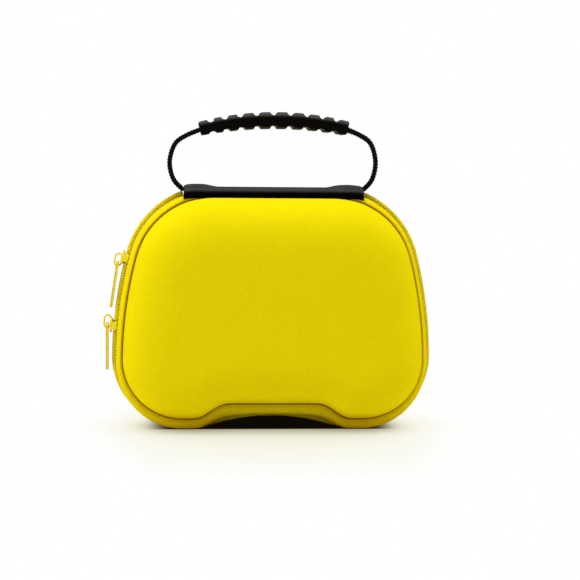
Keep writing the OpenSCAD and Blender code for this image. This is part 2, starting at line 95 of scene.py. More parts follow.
# Sliders
SLIDER_L = 8
SLIDER_W = 8.4
PLATE_T = 1.2
FLANGE_H = 2
FLANGE_T = 0.8
FLOOR_T = 1
LOW_SLIDER_Z = 57.3
HIGH_SLIDER_Z = 95.4
BRIDGE_H = 5.8
BRIDGE_L = 7.8
BRIDGE_W = 2.2
LOOP_T = 1
BRIDGE_SHIFT = 1.9
PULL_L = 26
PULL_W = 7
PULL_T = 1.4
PIN_R = 0.8
HIGH_PULL_GAP = 1.6

# Spine and handle
SPINE_L = 100
SPINE_T = 1.1
STRAP_W = 18
STRAP_T = 2.9
TONGUE_T = 1
TONGUE_L = 12
LOOP_BULGE = 7.8
LOOP_RISE = 12.8
GRIP_Z = 172
GRIP_REACH = 41
GRIP_R = 170
GRIP_T = 9.2
GRIP_W = 22
GRIP_EDGE_R = 0.7
NOTCH_D = 1.8
NOTCH_R = 2.2
RIBS = 10
BEND_Y = 4.5
FOLD_R = 0.6
END_LIFT = 2.2
END_LIFT_X = 34
RIB_PITCH = 1.7
RIB_D = 0.35
RIB_SIDE = 0.3
RAISE_RUN = 8
TWIST = 0.1
HANDLE_LEAN = 0.011

# Stitches
STITCH_L = 2.1
STITCH_R = 0.24
STITCH_GAP = 0.8
LIP_STITCH_Y = 5.3

# Inside
POCKET_RISE = 3
POCKET_Y = 26
POCKET_SAG_RUN = 28
HEM_INSET = 5
MESH_T = 0.6
HEM_D = 3
HOLD_Z = 70
HOLD_W = 25
HOLD_T = 1.2
HOLD_INSET = 6.5
PATCH_L = 24
PATCH_T = 0.8
SEAT = 0.25
PLAY = 0.5


# Curves and lofts
def smooth(t):
    u = max(0.0, min(1.0, t))
    return u * u * (3 - 2 * u)


def lerp(a, b, t):
    return tuple(p + (q - p) * t for p, q in zip(a, b))


def through(points, steps):
    """A curve through all the points, which may have any number of coordinates."""
    curve = []
    for j in range(len(points) - 1):
        p0, p1 = points[max(j - 1, 0)], points[j]
        p2, p3 = points[j + 1], points[min(j + 2, len(points) - 1)]
        for i in range(steps):
            t = i / steps
            curve.append(tuple(
                0.5 * (2 * b + (c - a) * t + (2 * a - 5 * b + 4 * c - d) * t * t + (3 * b - a - 3 * c + d) * t ** 3)
                for a, b, c, d in zip(p0, p1, p2, p3)
            ))
    return curve + [tuple(points[-1])]


def marks_of(points):
    """Each point's distance from the first, along the line through them."""
    marks = [0.0]
    for a, b in zip(points, points[1:]):
        marks.append(marks[-1] + math.dist(a, b))
    return marks


def heading(path, j, closed=False):
    """The direction of a path at one of its points."""
    last = len(path) - 1
    a, b = (j - 1, (j + 1) % len(path)) if closed else (max(j - 1, 0), min(j + 1, last))
    return Vector([q - p for p, q in zip(path[a], path[b])]).normalized()


def turns(n):
    """n angles, all round a circle."""
    return [2 * math.pi * i / n for i in range(n)]


def squarish(wave, power):
    """A cosine or sine drawn towards 1 and -1, for a flat bar with rounded edges."""
    return math.copysign(abs(wave) ** power, wave)


def spaced(points, step):
    """The same curve with its points the given step apart."""
    lengths = marks_of(points)
    count = max(2, round(lengths[-1] / step))
    curve, j = [], 0
    for i in range(count + 1):
        target = lengths[-1] * i / count
        while j < len(points) - 2 and lengths[j + 1] < target:
            j += 1
        span = lengths[j + 1] - lengths[j]
        curve.append(lerp(points[j], points[j + 1], (target - lengths[j]) / span if span else 0))
    return curve


def loft(rows, around=True, along=False, caps=True):
    """Faces between rows of points. Rows are closed on themselves if around, and the loft if along."""
    n = len(rows[0])
    points = [p for row in rows for p in row]
    faces = []
    for r in range(len(rows) if along else len(rows) - 1):
        s = (r + 1) % len(rows)
        for j in range(n if around else n - 1):
            k = (j + 1) % n
            faces.append((r * n + j, s * n + j, s * n + k, r * n + k))
    if caps and not along:
        faces.append(tuple(range(n - 1, -1, -1)))
        faces.append(tuple((len(rows) - 1) * n + j for j in range(n)))
    return points, faces


def capped(rows, first_pole, last_pole):
    """A stack of closed rows with a pole at each end."""
    points, faces = loft(rows, caps=False)
    n = len(rows[0])
    first, last = len(points), len(points) + 1
    faces += [(first, j, (j + 1) % n) for j in range(n)]
    base = len(rows) * n - n
    faces += [(last, base + (j + 1) % n, base + j) for j in range(n)]
    return points + [first_pole, last_pole], faces


def joined(parts):
    """Several meshes as one."""
    points, faces = [], []
    for part_points, part_faces in parts:
        start = len(points)
        points += part_points
        faces += [tuple(i + start for i in f) for f in part_faces]
    return points, faces


def placed(part, matrix):
    return [tuple(matrix @ Vector(p)) for p in part[0]], part[1]


def crossing(profile, y):
    """A profile's point at a distance from the zip plane, and the profile's slope there."""
    k = next((i for i, p in enumerate(profile) if p[1] > y), len(profile) - 1)
    a, b = profile[k - 1], profile[k]
    return lerp(a, b, (y - a[1]) / (b[1] - a[1])), (b[0] - a[0]) / (b[1] - a[1])


def out_of(s, slope):
    """The direction out of a face with that slope, at a station."""
    return tuple(Vector((-s[2], slope, -s[3])).normalized())


def flipped(part):
    """The mirror image in the zip plane."""
    return [(p[0], -p[1], p[2]) for p in part[0]], part[1]


def rod(path, side, radius, sides=8, ends=0.6):
    """A round rod along a path, with rounded ends. side is a direction across the path."""
    rows = []
    last = len(path) - 1
    for j, p in enumerate(path):
        d = heading(path, j)
        u = (Vector(side) - d * d.dot(Vector(side))).normalized()
        v = d.cross(u)
        r = radius * (ends if j in (0, last) else 1)
        rows.append([tuple(Vector(p) + (u * math.cos(a) + v * math.sin(a)) * r) for a in turns(sides)])
    poles = [tuple(Vector(p) + (Vector(p) - Vector(q)).normalized() * radius * 0.25)
             for p, q in ((path[0], path[1]), (path[-1], path[-2]))]
    return capped(rows, *poles)


def stitch_row(line, length, radius, gap, lowest=0.5):
    """Thread stitches along a line of (point, normal), each a short rod half sunk into the cloth.

    None is made below the lowest height, where the lips touch the floor."""
    marks = marks_of([point for point, normal in line])
    parts, at = [], gap

    def place(d):
        k = next(i for i in range(1, len(marks)) if marks[i] >= d or i == len(marks) - 1)
        t = (d - marks[k - 1]) / (marks[k] - marks[k - 1])
        return Vector(lerp(line[k - 1][0], line[k][0], t)), Vector(lerp(line[k - 1][1], line[k][1], t)).normalized()

    while at + length < marks[-1]:
        (a, n), (m, n_mid), (b, n_end) = place(at), place(at + length / 2), place(at + length)
        path = [a - n * radius * 0.7, a + n * radius * 0.1, m + n_mid * radius * 0.5,
                b + n_end * radius * 0.1, b - n_end * radius * 0.7]
        if m.z > lowest:
            parts.append(rod([tuple(p) for p in path], tuple((b - a).cross(n)), radius, 6, 0.7))
        at += length + gap
    return joined(parts)


def round_rect(w, h, r_high, n=4, r_low=None):
    """The outline of a rectangle with round corners, centred, counter-clockwise."""
    outline = []
    for cx, cy, start in ((1, 1, 0), (-1, 1, 90), (-1, -1, 180), (1, -1, 270)):
        r = r_low if r_low and cy < 0 else r_high
        for i in range(n + 1):
            a = math.radians(start + 90 * i / n)
            outline.append((cx * (w / 2 - r) + r * math.cos(a), cy * (h / 2 - r) + r * math.sin(a)))
    return outline


# Outline of the zip line, from the top middle round by the right. A station is (x, z, nx, nz), with the
# normal pointing into the case.
SIDE_X = CASE_W / 2 - SIDE_R
SHOULDER_Z = RIM_H - SHOULDER_R
SHOULDER_X = SIDE_X + math.sqrt((SIDE_R - SHOULDER_R) ** 2 - (SHOULDER_Z - WIDEST_Z) ** 2)
LOBE_X = SIDE_X + math.sqrt((SIDE_R - LOBE_R) ** 2 - (LOBE_R - WIDEST_Z) ** 2)
SHOULDER_A = math.atan2(SHOULDER_Z - WIDEST_Z, SHOULDER_X - SIDE_X)
LOBE_A = math.atan2(LOBE_R - WIDEST_Z, LOBE_X - SIDE_X)
INNER_X = LOBE_X - FOOT_L
ARCH_R = (INNER_X ** 2 + (LOBE_R - ARCH_H) ** 2 - LOBE_R ** 2) / (2 * ARCH_H)
ARCH_Z = ARCH_H - ARCH_R
ARCH_A = math.atan2(LOBE_R - ARCH_Z, INNER_X)
QUARTER = math.pi / 2


def arc(cx, cz, r, a0, a1, turn=1):
    def at(t):
        a = a0 + (a1 - a0) * t
        return cx + r * math.cos(a), cz + r * math.sin(a), -turn * math.cos(a), -turn * math.sin(a)

    return r * abs(a1 - a0), at


HALF_RIM = [
    (SHOULDER_X, lambda t: (SHOULDER_X * t, RIM_H, 0, -1)),
    arc(SHOULDER_X, SHOULDER_Z, SHOULDER_R, QUARTER, SHOULDER_A),
    arc(SIDE_X, WIDEST_Z, SIDE_R, SHOULDER_A, LOBE_A),
    arc(LOBE_X, LOBE_R, LOBE_R, LOBE_A, -QUARTER),
    (FOOT_L, lambda t: (LOBE_X - FOOT_L * t, 0, 0, 1)),
    arc(INNER_X, LOBE_R, LOBE_R, -QUARTER, ARCH_A - 2 * QUARTER),
    arc(0, ARCH_Z, ARCH_R, ARCH_A, QUARTER, -1),
]
HALF_L = sum(length for length, at in HALF_RIM)
RIM_L = 2 * HALF_L


def station(d):
    """The station at a distance from the top middle, which may be negative or more than half the rim."""
    d = (d + HALF_L) % RIM_L - HALF_L
    left = abs(d)
    for length, at in HALF_RIM:
        if left <= length or length == HALF_RIM[-1][0]:
            x, z, nx, nz = at(min(1, left / length))
            return (x, z, nx, nz) if d >= 0 else (-x, z, -nx, nz)
        left -= length
    raise ValueError("the outline has no such station")


def rim_stations(step):
    n = 2 * round(HALF_L / step)
    return [station(RIM_L * j / n) for j in range(n)]


def along_rim(start, step):
    """Stations from start round the bottom to the same place on the left."""
    n = round((RIM_L - 2 * start) / step)
    return [station(start + (RIM_L - 2 * start) * j / n) for j in range(n + 1)]


SPINE_D = SHOULDER_X + SHOULDER_R * (QUARTER - math.acos((SPINE_L / 2 - SHOULDER_X) / SHOULDER_R))
TEETH_D = SPINE_D + 1.2


# A section point is (sink, y, drop, pinch), as in the moulded shells: depth below the zip line, distance from
# the zip plane, how far it is let down at the bottom, and how far it follows the pinch over the arch.
# The groove dips along the hinge.
DOME_Y = GROOVE_Y + 1
DOME_RISE = CASE_D / 2 - CROWN - DOME_Y
DOME_MID_Z = (RIM_H + ARCH_H) / 2


def waist_height(p):
    return WAIST_Z + (p[0] - p[2]) - (GROOVE_SINK - GROOVE_DROP)


def crown_at(x, z):
    """How much the dome's middle stands out."""
    u = math.hypot(x / (CASE_W / 2 - DOME_SINK), (z - DOME_MID_Z) / (RIM_H / 2 - DOME_SINK))
    return CROWN * (1 - u * u) ** 2 if u < 1 else 0


def on_case(s, p):
    x, z = s[0] + p[0] * s[2], s[1] + p[0] * s[3]
    down = 1 - smooth((INNER_X - abs(s[0])) / 16) if s[3] > 0 else 1
    z -= p[2] * down * (1 - z / RIM_H) / (1 - p[0] / RIM_H)
    z -= (TOP_DIP - 1.2 * smooth((p[1] - GROOVE_Y) / 1)) * p[3] * smooth((-s[3] - 0.93) / 0.07)
    share = smooth((WAIST_OUT - abs(x)) / (WAIST_OUT - WAIST_IN)) * p[3] if s[3] > 0 else 0
    if share:
        z += (waist_height(p) - z) * share
    return x, p[1] + crown_at(x, z) * max(0, (p[1] - DOME_Y) / DOME_RISE), z


def dome_point(a, t=0.0):
    """The dome's edge is a quarter of a superellipse. t is the depth under the outer face."""
    cos_part = max(0.0, math.cos(a)) ** (2 / DOME_N)
    into = DOME_SINK + (DOME_RUN - t / 2) * (1 - cos_part)
    rise = (DOME_RISE - t) * max(0.0, math.sin(a)) ** (2 / DOME_N)
    return into + t, DOME_Y + rise, DOME_DROP + 0.15 * (into - DOME_SINK), 1 - 0.6 * (1 - cos_part)


LIP_EDGE = (LIP_SINK, LIP_Y, LIP_SINK, 0)
LIP_FOOT = (LIP_SINK + 0.3, 8.5, LIP_SINK + 0.3, 0.15)
LIP_BACK = (LIP_SINK + 1.2, GROOVE_Y - 1.1, LIP_SINK + 0.2, 0.75)
GROOVE = (GROOVE_SINK, GROOVE_Y - 0.95, GROOVE_DROP, 1)
DOME_START = (DOME_SINK, DOME_Y, DOME_DROP, 1)
LIP_ROOT = (GROOVE_SINK - 0.2, TAPE_Y + 0.2, LIP_SINK - 1, 0.7)
LIP_UNDER = (LIP_SINK + LIP_T, LIP_Y, LIP_SINK, 0)
DEGREE = math.pi / 180
dome_angles = [a * DEGREE for a in (4, 7, 11, 15, 20, 25, 30, 35, 40, 45, 50, 55, 60, 65, EDGE_A)]
lip_curve = through([
    LIP_EDGE, (LIP_SINK + 0.02, 6, LIP_SINK + 0.02, 0.06), LIP_FOOT, (LIP_SINK + 0.5, 11, LIP_SINK + 0.4, 0.4),
    (LIP_SINK + 0.8, 12.7, LIP_SINK + 0.35, 0.64), LIP_BACK, (LIP_SINK + 1.9, 14, LIP_SINK - 0.4, 0.85),
    (LIP_SINK + 2.7, 14.25, LIP_SINK - 1.2, 0.95), (LIP_SINK + 3.1, 13.9, GROOVE_DROP + 0.5, 1), GROOVE,
], 3)
groove_curve = through([GROOVE, (DOME_SINK + 0.05, 13.9, DOME_DROP + 0.1, 1), DOME_START, dome_point(4 * DEGREE)], 2)
outer_curve = lip_curve[:-1] + groove_curve[:-1] + [dome_point(a) for a in dome_angles]
edge_roll = [
    (LIP_SINK + LIP_T / 2 * (1 + math.sin(a)), LIP_Y - LIP_T / 2 * math.cos(a), LIP_SINK, 0)
    for a in (60 * DEGREE, 30 * DEGREE, 0, -30 * DEGREE, -60 * DEGREE)
]
inner_curve = through(
    [LIP_UNDER, LIP_ROOT, (DOME_SINK + WALL, GROOVE_Y + 0.5, GROOVE_DROP, 1)]
    + [dome_point(a * DEGREE, WALL) for a in (16, 34, 52, EDGE_A)],
    4,
)


# Materials. Constants are set on the shader's own sockets, and only what changes over a surface is linked.
class Wire:
    """A socket in a material's tree. Sums and products of wires add Math nodes."""

    def __init__(self, tree, socket=None):
        self.tree, self.socket = tree, socket

    def node(self, kind, settings=(), sockets=(), out=0):
        """Adds any node: its settings first, then its sockets' values or wires."""
        made = self.tree.nodes.new("ShaderNode" + kind)
        for key, setting in dict(settings).items():
            if key == "stops":
                ramp = made.color_ramp.elements
                while len(ramp) < len(setting):
                    ramp.new(1)
                for element, (place, colour) in zip(ramp, setting):
                    element.position, element.color = place, (*colour, 1)
            else:
                setattr(made, key, setting)
        for key, value in dict(sockets).items():
            if isinstance(value, Wire):
                self.tree.links.new(value.socket, made.inputs[key])
            else:
                made.inputs[key].default_value = value
        return Wire(self.tree, made.outputs[out] if len(made.outputs) else None)

    def math(self, operation, *values):
        return self.node("Math", {"operation": operation}, dict(enumerate(values)))

    def __add__(self, other):
        return self.math("ADD", self, other)

    def __sub__(self, other):
        return self.math("SUBTRACT", self, other)

    def __rsub__(self, other):
        return self.math("SUBTRACT", other, self)

    def __mul__(self, other):
        return self.math("MULTIPLY", self, other)

    __radd__, __rmul__ = __add__, __mul__

    def sine(self, period):
        """A wave from 0 to 1 with the given period."""
        return self.math("SINE", self * (2 * math.pi / period)) * 0.5 + 0.5

    def limited(self, low, high):
        """0 below low, 1 above high, smooth between."""
        return self.node("MapRange", {"interpolation_type": "SMOOTHSTEP"},
                         {"Value": self, "From Min": low, "From Max": high})

    def colour(self, a, b):
        """Colour a where the wire is 0, and colour b where it is 1."""
        def full(c):
            return c if isinstance(c, Wire) else (*c, 1)

        return self.node("Mix", {"data_type": "RGBA"}, {0: self, 6: full(a), 7: full(b)}, 2)

    def parts(self, count=3):
        """The parts of a vector."""
        return [self.node("SeparateXYZ", (), {0: self}, out) for out in range(count)]


def place_of(tree):
    """The place on the object, in millimetres."""
    at = Wire(tree).node("TexCoord", out="Object")
    return at.node("VectorMath", {"operation": "SCALE"}, {0: at, "Scale": 1 / MM})


def noise(at, size, detail=2, out=0):
    return at.node("TexNoise", (), {"Vector": at, "Scale": 1 / size, "Detail": detail}, out)


def strip_place(at):
    """Lengths along and across a strip, in millimetres."""
    return at.node("UVMap", {"uv_map": "UVMap"}).parts(2)


def material(name, shader_at):
    """A material whose surface is the shader that shader_at makes from the place on the object."""
    made = bpy.data.materials.new(name)
    made.use_nodes = True
    made.node_tree.nodes.clear()
    shader = shader_at(place_of(made.node_tree))
    shader.node("OutputMaterial", (), {"Surface": shader})
    return made


def finish(name, paint):
    """A finish. paint gives the shader's sockets for a place, with height and depth for its bump."""
    def shader_at(at):
        sockets = paint(at)
        height = sockets.pop("height", None)
        depth = sockets.pop("depth", 0.1)
        if height:
            sockets["Normal"] = height.node("Bump", (), {"Height": height, "Distance": depth * MM, "Strength": 1.0})
        return at.node("BsdfPrincipled", (), sockets)

    return material(name, shader_at)


def weave(at, thread):
    """Threads that pass over and under each other, on a face of any direction."""
    n = at.node("NewGeometry", out="Normal").parts()
    waves = [p.math("SINE", p * (math.pi / thread)) for p in at.parts()]
    return (waves[0] * waves[2] * (n[1] * n[1]) + waves[1] * waves[2] * (n[0] * n[0])
            + waves[0] * waves[1] * (n[2] * n[2])) * 0.5 + 0.5


YELLOW = (0.86, 0.735, 0.003)
DEEP_YELLOW = (0.74, 0.59, 0.002)
# A warm deep yellow, painted as shade where the shell fabric is closed in.
PAINTED_SHADE_YELLOW = (0.7, 0.37, 0.002)


def openness(at, reach, samples=8):
    """1 where the surface is open, less where other surfaces are near it. reach is in millimetres."""
    return at.node("AmbientOcclusion", {"samples": samples}, {"Distance": reach * MM}, "AO")


def upward(at):
    """The upright part of the direction that the surface faces, on the object itself."""
    return at.node("TexCoord", out="Normal").parts()[2]


def shell_fabric(at):
    threads = weave(at, 0.55)
    speckle = noise(at, 0.7, 3)
    cloud = noise(at, 14, 2)
    shade = speckle.limited(0.3, 0.72) * 0.5 + cloud * 0.2 + threads * 0.3
    cloth = shade.colour(DEEP_YELLOW, YELLOW)
    # Painted shade: the colour turns dark brown in tight creases, where other surfaces lie within 3 mm. It turns
    # warm deep yellow where they lie within 20 mm, as under the case.
    return {
        "Base Color": openness(at, 3).limited(0.1, 0.45).colour(
            (0.16, 0.08, 0.002), openness(at, 20).limited(0.05, 0.5).colour(PAINTED_SHADE_YELLOW, cloth)),
        "Roughness": 0.62 + 0.12 * cloud,
        "Specular IOR Level": 0.0,
        "height": threads * 0.5 + speckle * 0.5,
        "depth": 0.09,
    }


def painted_groove_shade(at):
    """Painted shade in the groove: the fabric at its bottom is coloured dark brown for the shade in the crease."""
    return {"Base Color": noise(at, 0.8).colour((0.2, 0.1, 0.002), (0.4, 0.24, 0.003)), "Roughness": 0.8,
            "Specular IOR Level": 0.0}


def lining(at):
    fluff = noise(at, 0.8, 4)
    nap = noise(at, 9, 2)
    return {
        "Base Color": (fluff * 0.6 + nap * 0.4).colour((0.016, 0.016, 0.017), (0.052, 0.052, 0.055)),
        "Roughness": 0.92,
        "Sheen Weight": 0.35,
        "Sheen Roughness": 0.45,
        "height": fluff + nap * 0.5,
        "depth": 0.25,
    }


def tape_cloth(dark, light):
    def paint(at):
        along, across = strip_place(at)
        twill = (along + across * 1.6).sine(0.9)
        rows = across.sine(1.1)
        wear = noise(at, 5)
        return {
            "Base Color": (twill * 0.45 + rows * 0.25 + wear * 0.3).colour(dark, light),
            "Roughness": 0.78,
            "Sheen Weight": 0.12,
            "height": twill * 0.6 + rows * 0.4,
            "depth": 0.14,
        }

    return paint


def tooth_nylon(at):
    cloud = noise(at, 3)
    return {
        "Base Color": cloud.colour((0.78, 0.6, 0.003), (0.9, 0.76, 0.004)),
        "Roughness": 0.42 + 0.1 * cloud,
        "Specular IOR Level": 0.15,
    }


def spine_cloth(at):
    threads = weave(at, 0.5)
    cloud = noise(at, 7, 3)
    # Painted highlight: faces that look upwards are painted grey for the light from above, and the rest near black.
    return {
        "Base Color": upward(at).limited(0.25, 0.95).colour(
            (threads * 0.5 + cloud * 0.5).colour((0.0008, 0.0005, 0.0003), (0.0025, 0.0017, 0.001)),
            (threads * 0.4 + cloud * 0.6).colour((0.033, 0.031, 0.03), (0.075, 0.072, 0.07))),
        "Roughness": 0.85,
        "Specular IOR Level": 0.0,
        "height": threads + cloud * 0.3,
        "depth": 0.12,
    }


def ribbed_webbing(at):
    along, across = strip_place(at)
    ribs = along.sine(RIB_PITCH)
    yarn = (across + along * 0.5).sine(0.8)
    cloud = noise(at, 4)
    return {
        "Base Color": (ribs * 0.4 + yarn * 0.3 + cloud * 0.3).colour(
            (0.0012, 0.0008, 0.0005), (0.006, 0.0045, 0.003)),
        "Roughness": 0.7,
        "Sheen Weight": 0.03,
        "Sheen Roughness": 0.3,
        "Specular IOR Level": 0.05,
        "height": yarn * 0.5 + ribs * 0.5,
        "depth": 0.12,
    }


def grip_rubber(at):
    grain = noise(at, 0.5, 3)
    cloud = noise(at, 12, 3)
    up = upward(at)
    # Painted light: faces that look upwards are painted grey as a painted highlight. Faces that look downwards are
    # painted brown as yellow light thrown up from the case, and the front is near black.
    return {
        "Base Color": up.limited(0.1, 0.75).colour(
            up.limited(-0.75, -0.3).colour((0.06, 0.045, 0.02), (0.002, 0.0014, 0.001)),
            cloud.colour((0.04, 0.038, 0.035), (0.07, 0.067, 0.06))),
        "Roughness": 0.4 + 0.14 * cloud,
        "Specular IOR Level": 0.05,
        "height": grain,
        "depth": 0.035,
    }


def slider_paint(at):
    peel = noise(at, 1.4, 2)
    # Painted highlight: sharp convex edges are painted a lighter yellow.
    edge = at.node("NewGeometry", out="Pointiness").limited(0.53, 0.6)
    return {
        "Base Color": (edge * 0.6 + peel * 0.2).colour((0.86, 0.7, 0.004), (0.92, 0.8, 0.03)),
        "Roughness": 0.3 + 0.1 * peel,
        "Coat Weight": 0.15 + 0.1 * peel,
        "Specular IOR Level": 0.3,
        "height": peel,
        "depth": 0.03,
    }


def thread_of(dark, light):
    def paint(at):
        x, y, z = at.parts()
        ply = (x + y + z).sine(0.5)
        return {"Base Color": ply.colour(dark, light), "Roughness": 0.55, "height": ply, "depth": 0.05}

    return paint


def pocket_net(at):
    pitch = 2.6
    x, y, z = at.parts()
    a = (x + z * 0.58).sine(pitch)
    b = (x - z * 0.58).sine(pitch)
    c = z.sine(pitch * 0.86)
    cords = a.math("MAXIMUM", a.math("MAXIMUM", a, b), c).limited(0.86, 0.93)
    return {
        "Base Color": noise(at, 2).colour((0.007, 0.007, 0.007), (0.02, 0.02, 0.021)),
        "Roughness": 0.7,
        "Alpha": cords,
        "height": cords,
        "depth": 0.2,
    }


def elastic(at):
    x, y, z = at.parts()
    cords = z.sine(1.3)
    picks = x.sine(0.8)
    return {
        "Base Color": (cords * 0.6 + picks * 0.4).colour((0.006, 0.006, 0.006), (0.03, 0.03, 0.031)),
        "Roughness": 0.75,
        "Sheen Weight": 0.2,
        "height": cords * 0.7 + picks * 0.3,
        "depth": 0.25,
    }


def hook_and_loop(at):
    x, y, z = at.parts()
    tufts = noise(at, 0.6, 4)
    rows = x.sine(1.2) * z.sine(1.2)
    return {
        "Base Color": (tufts * 0.6 + rows * 0.4).colour((0.006, 0.006, 0.006), (0.045, 0.045, 0.046)),
        "Roughness": 0.85,
        "Sheen Weight": 0.3,
        "height": tufts * 0.5 + rows * 0.5,
        "depth": 0.4,
    }


PAINTS = {
    "shell_fabric": shell_fabric,
    "lining": lining,
    "painted_groove_shade": painted_groove_shade,
    "zip_tape": tape_cloth((0.6, 0.46, 0.004), (0.82, 0.68, 0.008)),
    "zip_teeth": tooth_nylon,
    "lining_binding": tape_cloth((0.006, 0.006, 0.006), (0.03, 0.03, 0.032)),
    "spine_fabric": spine_cloth,
    "webbing": ribbed_webbing,
    "grip_rubber": grip_rubber,
    "painted_slider": slider_paint,
    "pocket_mesh": pocket_net,
    "elastic": elastic,
    "hook_and_loop": hook_and_loop,
    "yellow_thread": thread_of((0.6, 0.47, 0.004), (0.9, 0.78, 0.02)),
    "black_thread": thread_of((0.008, 0.008, 0.008), (0.05, 0.048, 0.045)),
}
MATERIALS = {name: finish(name, paint) for name, paint in PAINTS.items()}


def settle(mesh, crease, change=None):
    """Makes a mesh's normals agree, after a change if one is given, and keeps its creases of that angle sharp."""
    form = bmesh.new()
    form.from_mesh(mesh)
    if change:
        change(form)
    bmesh.ops.recalc_face_normals(form, faces=form.faces)
    form.to_mesh(mesh)
    form.free()
    mesh.polygons.foreach_set("use_smooth", [True] * len(mesh.polygons))
    mesh.set_sharp_from_angle(angle=math.radians(crease))


def added(name, data):
    """A new object in the scene."""
    made = bpy.data.objects.new(name, data)
    bpy.context.scene.collection.objects.link(made)
    return made


def piece(name, part, body, slot, node=None, materials=None, bands=None, uv=None, crease=40):
    """Makes a mesh in metres, gives it its finish and lets it ride on its body.

    bands gives the material's index for each face, and uv the place of each point on its strip in millimetres.
    """
    points, faces = part
    mesh = bpy.data.meshes.new(name)
    mesh.from_pydata([tuple(c * MM for c in p) for p in points], [], faces)
    for m in materials or [slot]:
        mesh.materials.append(MATERIALS[m])
    if bands:
        mesh.polygons.foreach_set("material_index", bands)
    if uv:
        layer = mesh.uv_layers.new(name="UVMap")
        for loop in mesh.loops:
            layer.data[loop.index].uv = uv[loop.vertex_index]
    settle(mesh, crease)
    made = added(name, mesh)
    if body:
        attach(made, body)
    if node:
        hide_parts(node)
    return made


SIDES = (("back", "base", False), ("front", "lid", True))


def sided(part, mirror):
    return flipped(part) if mirror else part


# Moulded shells, covered in fabric outside and lined inside
def shell_part():
    stations = rim_stations(1.6)
    ring = [[on_case(s, p) for s in stations] for p in outer_curve]
    inner = [[on_case(s, p) for s in stations] for p in edge_roll + inner_curve]

    def toward(row, share, t):
        """The row drawn in towards the middle part of the level line through the dome's middle, and still
        rising as the dome's edge does. t is the depth under the outer face."""
        drawn = []
        for x, y, z in row:
            end_x = CROWN_HALF * math.tanh(x / CROWN_HALF)
            into = (1 - share) * math.hypot(x - end_x, z - DOME_MID_Z) / (DOME_RUN - t / 2)
            left = max(0.0, math.cos(EDGE_A * DEGREE) ** (2 / DOME_N) - into)
            x, z = end_x + (x - end_x) * share, DOME_MID_Z + (z - DOME_MID_Z) * share
            rise = (DOME_RISE - t) * (1 - left ** DOME_N) ** (1 / DOME_N)
            drawn.append((x, DOME_Y + rise + crown_at(x, z) * rise / DOME_RISE, z))
        return drawn

    def shrunk(row, share, t):
        """The row drawn in towards the dome's middle, where it no longer rises."""
        flat = [(p[0] * share, DOME_MID_Z + (p[2] - DOME_MID_Z) * share) for p in row]
        return [(x, DOME_Y + (DOME_RISE - t) * (1 + crown_at(x, z) / DOME_RISE), z) for x, z in flat]

    crown, floor = [[toward(row, s, t) for s in (0.96, 0.91, 0.86, 0.8, 0.73, 0.65, 0.57, 0.5)]
                    for row, t in ((ring[-1], 0), (inner[-1], WALL))]
    for rows, t in ((crown, 0), (floor, WALL)):
        rows += [shrunk(rows[-1], s, t) for s in (0.88, 0.75, 0.6, 0.44, 0.27, 0.1)]
    rows = crown[::-1] + ring[::-1] + inner + floor
    poles = [(0, DOME_Y + (DOME_RISE - t) * (1 + CROWN / DOME_RISE), DOME_MID_Z) for t in (0, WALL)]
    part = capped(rows, *poles)
    n = len(stations)
    cloth_rows = len(crown) + len(ring)
    # The face rows at the groove's bottom take the third material, a thin dark brown line of painted shade in the
    # groove.
    slot = cloth_rows - len(lip_curve)
    bands = []
    for r in range(len(rows) - 1):
        bands += [2 if slot - 2 <= r <= slot else 0 if r < cloth_rows + 2 else 1] * n
    bands += [0] * n + [1] * n
    return part, bands


case_shell, case_bands = shell_part()
for side, body, mirror in SIDES:
    piece(f"{side}_shell_cover", sided(case_shell, mirror), body, "shell_fabric", f"{side}_shell",
          ["shell_fabric", "lining", "painted_groove_shade"], case_bands, crease=180)


# Row of stitches that holds the zip tape in each lip
def lip_line(y):
    """The lip's outer face at a distance from the zip plane, with its normals."""
    p, slope = crossing(lip_curve, y)
    return [(on_case(s, p), out_of(s, slope)) for s in along_rim(SPINE_D, 2)]


lip_stitches = stitch_row(lip_line(LIP_STITCH_Y), STITCH_L, STITCH_R, 0.75)
for side, body, mirror in SIDES:
    piece(f"{side}_lip_stitches", sided(lip_stitches, mirror), body, "zip_tape", materials=["yellow_thread"])


# Zip tape, its rows of teeth and the binding over its inner edge
def strip(stations, section, closed):
    """A bar along the rim, with lengths along and across it for its cloth."""
    rows = [[on_case(s, p) for p in section] for s in stations]
    across = marks_of(rows[0])
    return loft(rows, along=closed), [(d, v) for d in marks_of([row[0] for row in rows]) for v in across]


TAPE_TOP = COIL_H + SEAT
TAPE_SLOPE = (LIP_ROOT[0] + 0.6, TAPE_Y, LIP_ROOT[2], LIP_ROOT[3])
tape_face = [lerp((TAPE_TOP, 1, 0, 0), TAPE_SLOPE, t / 8) for t in range(9)]
tape_section = tape_face + [(p[0] + TAPE_T, *p[1:]) for p in reversed(tape_face)]
tape_part, tape_uv = strip(along_rim(SPINE_D, 2), tape_section, False)

BINDING_W = 1.5
BINDING_EDGE = (LIP_ROOT[0] + 0.7, LIP_ROOT[1] - 2, LIP_ROOT[2] - 0.7, 0.7)
BINDING_ROOT = (LIP_ROOT[0] + 2, LIP_ROOT[1] + 1.4, LIP_ROOT[2] - 0.9, 0.9)
binding_mid = [lerp(BINDING_EDGE, BINDING_ROOT, t) for t in (0.08, 0.3, 0.5, 0.7, 0.92)]
binding_section = (
    [BINDING_EDGE] + binding_mid + [BINDING_ROOT]
    + [(p[0] + BINDING_W * b, *p[1:]) for p, b in zip(
        [BINDING_ROOT] + binding_mid[::-1] + [BINDING_EDGE], (0.6, 0.95, 1.15, 1.2, 1.15, 0.95, 0.6))]
)
binding_part, binding_uv = strip(rim_stations(2), binding_section, True)


